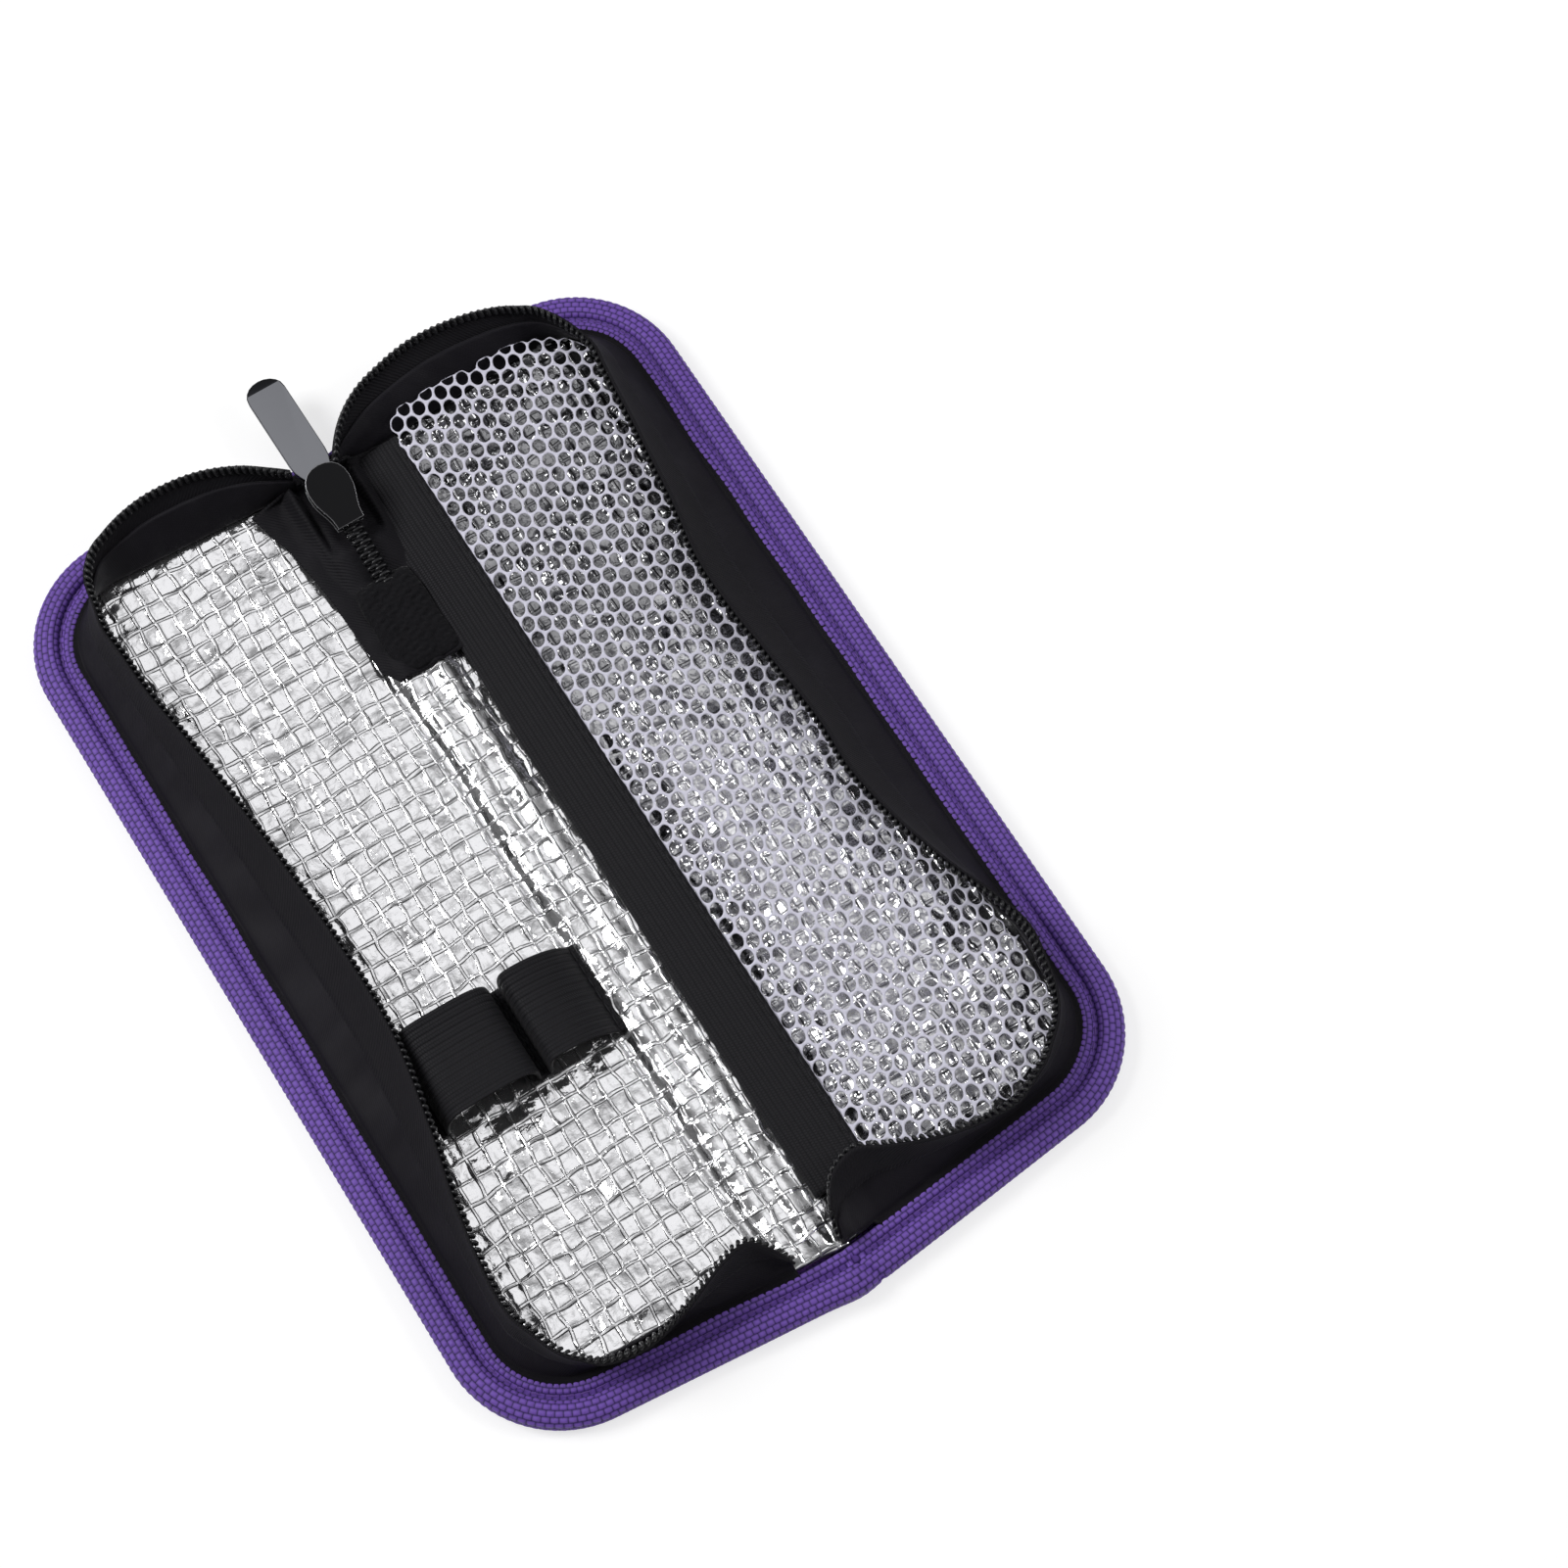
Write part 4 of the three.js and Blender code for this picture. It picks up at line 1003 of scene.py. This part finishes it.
def pocket_band():
    lo, hi = box_mm("pocket_elastic")
    ribs = 8
    v, rib = rib_relief(ribs, 6, 0.13)
    t = v / ribs
    ys = np.linspace(lo[1], hi[1], 150)[:, None]
    wave = ripple(ys, 0.0, 60.0, 9)
    rise = hi[2] - lo[2] - 1.0
    x = lo[0] + (hi[0] - lo[0]) * t + 0.5 * wave * (1 - t)
    z = lo[2] + 0.6 + rise * t + 0.6 * np.sin(math.pi * t) + rib + 0.2 * wave * t
    pts = np.stack(np.broadcast_arrays(x, ys, z), 2)
    obj = grid_mesh("pocket_elastic_band", pts, as_uv(ys, t * 12.8), elastic_cloth)
    solidify(orient_out(obj), 0.8, -1.0)
    dress(obj, 1, "elastic", "pocket_elastic")
    z = lo[2] + 1.35 + rise * 0.93 + 0.2 * wave[:, 0]
    seam("pocket_elastic_stitches", 1, 12.6, ys[:, 0], z, 2.2, 0.15, 0.08)


pocket_band()

# ---- net ----

NET_COLUMN = 2.72
NET_ROW = 3.7
NET_SHEAR = 0.12
# Thread half widths at the middles of a cell's six sides, and at its corners
THREAD_SIDES = (0.25, 0.25, 0.23)
THREAD_CORNER = 0.46


def net_outline(floor_z, mouth_x):
    """The pocket's outline: where the net's plane meets the wall, and its mouth."""
    w = walls[1]
    rim = []
    for i in np.nonzero((w.share > 0) & (w.share < 1))[0]:
        inset, z = w.profile(i, np.linspace(0, 1, 40))
        reach = max(np.interp(floor_z + lift, z, inset) for lift in (-0.2, 0.6, 1.4)) + 0.5
        p = w.pts[i] - w.outs[i] * reach
        if p[0] > mouth_x:
            rim.append(p)
    return np.array([(mouth_x, rim[0][1]), *rim, (mouth_x, rim[-1][1])])


def net_piece():
    lo, _ = box_mm("mesh_pocket")
    z0, x0 = lo[2] + 0.35, lo[0] - 2.6
    poly = net_outline(z0, x0)
    step = np.roll(poly, -1, 0) - poly
    (x1, y1), (_, y2) = poly.T, (poly + step).T
    slope = step[:, 0] / np.where(step[:, 1] == 0, 1e-9, step[:, 1])

    def inside(px, py):
        crosses = ((y1 > py) != (y2 > py)) & (x1 + (py - y1) * slope > px)
        return crosses.sum() % 2 == 1

    shared, verts, faces = {}, [], []
    # The cell of the lattice round a hole: six corners and six side middles
    half, third = NET_ROW / 2, NET_COLUMN / 3
    corners = np.array([
        (2 * third, 0), (third, half), (-third, half),
        (-2 * third, 0), (-third, -half), (third, -half),
    ])
    ring = np.stack([corners, (corners + np.roll(corners, -1, 0)) / 2], 1).reshape(-1, 2)
    for i in range(int(60 / NET_COLUMN) + 2):
        for j in range(-34, 35):
            cx = x0 + NET_COLUMN * (i + 0.3)
            cy = (j + (i % 2) / 2) * NET_ROW + NET_SHEAR * (cx - x0)
            if not inside(cx, cy) or (cy > 91 and cx < lo[0] + 0.6):
                continue
            outer, inner = [], []
            for q, (dx, dy) in enumerate(ring):
                key = (round(cx + dx, 2), round(cy + dy + NET_SHEAR * dx, 2))
                if key not in shared:
                    shared[key] = len(verts)
                    verts.append((cx + dx, cy + dy + NET_SHEAR * dx))
                outer.append(shared[key])
                thread = THREAD_SIDES[q // 2 % 3] if q % 2 else THREAD_CORNER
                left = 1 - thread / math.hypot(dx, dy)
                inner.append(len(verts))
                verts.append((cx + dx * left, cy + (dy + NET_SHEAR * dx) * left))
            for q in range(12):
                faces.append((outer[q], outer[(q + 1) % 12], inner[(q + 1) % 12], inner[q]))
    v = np.array(verts)
    for i, p in enumerate(v):
        if not inside(*p):
            t = clamp(((p - poly) * step).sum(1) / np.maximum((step * step).sum(1), 1e-9))
            on_rim = poly + step * t[:, None]
            v[i] = on_rim[np.argmin(((on_rim - p) ** 2).sum(1))]
    x, y = v.T
    z = z0 + 0.3 + 0.5 * ripple(x, y, 36.0, 17) + 0.2 * ripple(x, y, 12.0, 18)
    z = z - 1.6 * clamp(1 - (x - x0) / 4.0)
    x = x + 0.13 * ripple(x, y, 8.0, 19)
    y = y + 0.13 * ripple(x, y, 8.0, 20)
    obj = make_mesh("net_cloth", np.stack([x, y, z], 1), faces, net_nylon)
    solidify(orient_out(obj), 0.4)
    modify(obj, "Round threads", "SUBSURF", levels=1, render_levels=1)
    dress(obj, 1, "net", "mesh_pocket")


net_piece()

# ---- closed end of the zipper: cloth, tape, chain and tab on the spine ----

# The slider and the chain rise towards the zipper's end
TILT = math.radians(16)
SLIDER_X = -4.2
ALONG = np.array([0, math.cos(TILT), math.sin(TILT)])
UP = np.array([0, -math.sin(TILT), math.cos(TILT)])
CHAIN_ORIGIN = np.array([SLIDER_X, 86.6, 11.15])
CHAIN_START, CHAIN_END = -20.6, -3.5

turns = int((CHAIN_END - CHAIN_START) / (TURN_PITCH / 2))
for sign, name in ((-1, "left"), (1, "right")):
    at = [
        CHAIN_START + (CHAIN_END - CHAIN_START) * (k + 0.5) / turns
        for k in range(turns) if (k % 2 == 0) == (sign > 0)
    ]
    centres = [CHAIN_ORIGIN + np.array([sign * 0.7, 0, 0]) + ALONG * s + UP * 1.1 for s in at]
    heads = [np.array([-sign, 0.0, 0.0])] * turns
    chain = coil_turns(
        f"joined_coil_{name}", centres, heads, [UP] * turns, [ALONG] * turns, 2.9, 1.5
    )
    dress(chain, "spine", "zipper_coil", *["joined_zipper_coil"] * (sign < 0))


# Both edges of the end cloth: distance along the spine, and across it
APRON_LEFT = (
    (47.2, -12.2), (51, -14.4), (58.7, -14.9), (68.3, -15.1), (75.1, -15.9), (83.3, -17),
    (90, -19), (94, -20), (94.8, -9.2), (97.6, -8.8),
)
APRON_RIGHT = (
    (47.2, 3.4), (60, 3.6), (88, 4.0), (92, 7.0), (94, 13.0), (94.8, 3.0), (97.6, 2.2),
)
APRON_NEAR, APRON_FAR = 47.2, 97.6
# Cut size of that cloth
# Slit between the two tapes, where the slider's post and crown pass
SLIT_HALF = 1.3
SLIT_NEAR, SLIT_FAR = 75, 92


def apron():
    """Black cloth that joins both walls to the zipper's closed end."""
    y = np.linspace(APRON_NEAR, APRON_FAR, 84)[:, None]
    left, right = (np.interp(y, *np.transpose(rows)) for rows in (APRON_LEFT, APRON_RIGHT))
    x = left + (right - left) * np.linspace(0, 1, 44)
    y = np.broadcast_to(y, x.shape)
    chain_z = CHAIN_ORIGIN[2] + (y - CHAIN_ORIGIN[1]) * math.tan(TILT) - 0.55
    flat_z = LINER_TOP + 0.6 + np.maximum(spine_roll(x, y), -0.35)
    beside = np.abs(x - SLIDER_X)
    rise = bell(np.maximum(beside - 3.2, 0), 4.6) * clamp((y - 64) / 7)
    under_slider = clamp(6.6 - beside) * clamp((y - 76) / 4)
    rise = (rise * (1 - under_slider) + 0.08 * under_slider) * clamp((97 - y) / 3)
    z = flat_z + np.clip(chain_z - flat_z, 0, 7.2) * rise
    z = np.maximum(z, 4.9 + 0.7 * clamp((y - 90) / 4))
    folds = 0.25 * ripple(x, y, 9.0, 61) + 0.15 * ripple(x, y, 4.0, 62)
    z = z + folds * (1 - rise)
    flat = np.stack([x, y, z], 2).reshape(-1, 3)
    faces = []
    for face in grid_faces(*x.shape):
        middle = flat[list(face)].mean(0)
        if not (abs(middle[0] - SLIDER_X) < SLIT_HALF and SLIT_NEAR < middle[1] < SLIT_FAR):
            faces.append(face)
    obj = make_mesh("joined_tape_cloth", flat, faces, tape_cloth, flat[:, :2])
    solidify(orient_out(obj), 0.45)
    dress(obj, -1, "zipper_tape", "joined_zipper_tape")


apron()


def end_tab():
    lo, hi = box_mm("end_tab")
    x0, x1 = lo[0] - 1.3, hi[0] + 1.2
    y0, y1 = lo[1] + 0.2, hi[1] - 0.6
    a, b = np.meshgrid(np.linspace(-1, 1, 72), np.linspace(-1, 1, 100))
    pillow = np.sqrt(clamp((1 - np.abs(a) ** 4) * (1 - np.abs(b) ** 8)))
    x = (x0 + x1) / 2 + (x1 - x0) / 2 * a * (1 - 0.08 * np.abs(b) ** 5)
    y = (y0 + y1) / 2 + (y1 - y0) / 2 * b * (1 - 0.05 * np.abs(a) ** 5)
    x = x + 0.3 * ripple(x, y, 10.0, 42)
    z = 4.5 + (hi[2] - 4.6) * (0.3 + 0.7 * pillow) * (0.8 + 0.2 * b)
    z = z + (0.2 * ripple(x, y, 5.0, 41) + 0.14 * ripple(x, y, 1.5, 43)) * pillow
    rim = (np.abs(a) == 1) | (np.abs(b) == 1)
    z = np.where(rim, 4.3, z)
    pts = np.stack([x, y, z], 2)
    obj = orient_out(grid_mesh("end_tab_cloth", pts, pts[..., :2].copy(), tab_cloth))
    dress(obj, "spine", "tab_fabric", "end_tab")


end_tab()

# ---- slider, crown and pull: clean copies of the frame's solids with rounded edges ----


def rounded_copy(node, materials, slot_name, width, body):
    """Copy of a solid with rounded edges: the first material, then the edges' material."""
    bm = bmesh.new()
    bm.from_mesh(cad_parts[node].data)
    bmesh.ops.remove_doubles(bm, verts=bm.verts, dist=0.01 * MM)
    bmesh.ops.dissolve_limit(bm, angle_limit=math.radians(2), verts=bm.verts, edges=bm.edges)
    mesh = bpy.data.meshes.new(node + "_metal")
    verts = [v.co.copy() for v in bm.verts]
    mesh.from_pydata(verts, [], [[v.index for v in f.verts] for f in bm.faces])
    bm.free()
    for material in materials:
        mesh.materials.append(material)
    obj = add_object(node + "_metal", mesh)
    modify(
        obj, "Bevel", "BEVEL", width=width * MM, segments=3, limit_method="ANGLE",
        angle_limit=math.radians(32), material=1,
    )
    modify(obj, "Normals", "WEIGHTED_NORMAL", keep_sharp=False)
    dress(obj, body, slot_name, node)
    return obj


# The slider's and crown's rounded edges take the painted highlight
rounded_copy("slider_body", (enamel, edge_painted_highlight), "slider_metal", 0.28, "slider")
rounded_copy("slider_crown", (enamel, edge_painted_highlight), "slider_metal", 0.15, "slider")
pull = rounded_copy("slider_pull", (gunmetal, bevel_painted_reflection), "pull_metal", 0.32, "pull")
# The pull's chamfers get a darker metal than its flat face: a painted dark reflection
faces = pull.data.polygons
face_up = max(faces, key=lambda f: f.area * (f.normal.z > 0)).normal.copy()
for face in faces:
    if math.radians(6) < face.normal.angle(face_up) < math.radians(40):
        face.material_index = 1

# ---- floor, light, camera ----

# Share of the floor's look that is plain white where it is seen, and that white's strength
FLOOR_SHOWN = 0.6
FLOOR_GLOW = 1.12

k = Principled("floor_white", color=(0.93, 0.93, 0.93, 1), rough=0.85, spec=0.1)
seen = k.new("LightPath").outputs
shown = k.most(k.most(seen["Is Camera Ray"], seen["Is Glossy Ray"]), seen["Is Transmission Ray"])
glow, mix = k.new("Emission"), k.new("MixShader")
k.put(glow.inputs["Color"], (1, 1, 1, 1))
k.put(glow.inputs["Strength"], FLOOR_GLOW)
k.put(mix.inputs[0], k.mul(shown, FLOOR_SHOWN))
k.put(mix.inputs[1], k.bsdf.outputs[0])
k.put(mix.inputs[2], glow.outputs[0])
k.put(k.surface, mix.outputs[0])
bpy.ops.mesh.primitive_plane_add(size=16, location=(0, 0, -0.0002))
floor = bpy.context.object
bpy.ops.mesh.primitive_cylinder_add(
    vertices=96, radius=7.9, depth=1.2, end_fill_type="NOTHING", location=(0, 0, 0.6)
)
backdrop = bpy.context.object
for obj, name in ((floor, "floor"), (backdrop, "backdrop")):
    obj.name = name
    obj.data.materials.append(k.material)

# The sky brightens towards one point high up, so that the film has something to mirror
SKY_TOWARD = (0.17, 0.26, 0.95)
SKY_STOPS = ((0.0, 0.06), (0.5, 0.13), (0.8, 0.32), (0.93, 0.66), (0.985, 0.98))

world = bpy.data.worlds.new("World")
bpy.context.scene.world = world
world.use_nodes = True
k = Nodes(world.node_tree)
toward, ramp, sky = k.new("VectorMath"), k.new("ValToRGB"), k.new("Background")
toward.operation = "DOT_PRODUCT"
k.put(toward.inputs[0], k.new("TexCoord").outputs["Generated"])
k.put(toward.inputs[1], SKY_TOWARD)
for i, (position, value) in enumerate(SKY_STOPS):
    stops = ramp.color_ramp.elements
    stop = stops[i] if i < 2 else stops.new(position)
    stop.position = position
    stop.color = (value, value, value * 1.01, 1)
k.put(ramp.inputs[0], toward.outputs["Value"])
k.put(sky.inputs[0], ramp.outputs[0])
k.put(sky.inputs[1], 1.0)
k.put(k.new("OutputWorld").inputs[0], sky.outputs[0])

for name, location, size, energy in (
    ("key", (-0.62, 0.5, 0.8), 0.5, 8.8),
    ("fill", (0.75, -0.35, 0.75), 0.35, 3.4),
):
    lamp = bpy.data.lights.new(name, "AREA")
    lamp.shape = "RECTANGLE"
    lamp.size = lamp.size_y = size
    lamp.energy = energy
    obj = link(bpy.data.objects.new(name, lamp))
    obj.location = location
    obj.rotation_euler = (-Vector(location)).to_track_quat("-Z", "Y").to_euler()

AZIMUTH, ELEVATION, DISTANCE = math.radians(-32.3), math.radians(70), 0.681
AIM = Vector((41.4 * MM, -9.8 * MM, 0))

cam_data = bpy.data.cameras.new("Camera")
cam = link(bpy.data.objects.new("Camera", cam_data))
bpy.context.scene.camera = cam
cam_data.sensor_width = 36.0
cam_data.lens = 79.15
cam_data.clip_start, cam_data.clip_end = 0.01, 20
back = Vector((
    math.sin(AZIMUTH) * math.cos(ELEVATION),
    -math.cos(AZIMUTH) * math.cos(ELEVATION),
    math.sin(ELEVATION),
))
cam.location = AIM + back * DISTANCE
cam.rotation_mode = "QUATERNION"
cam.rotation_quaternion = (-back).to_track_quat("-Z", "Y")

bpy.context.scene.view_settings.view_transform = "Standard"
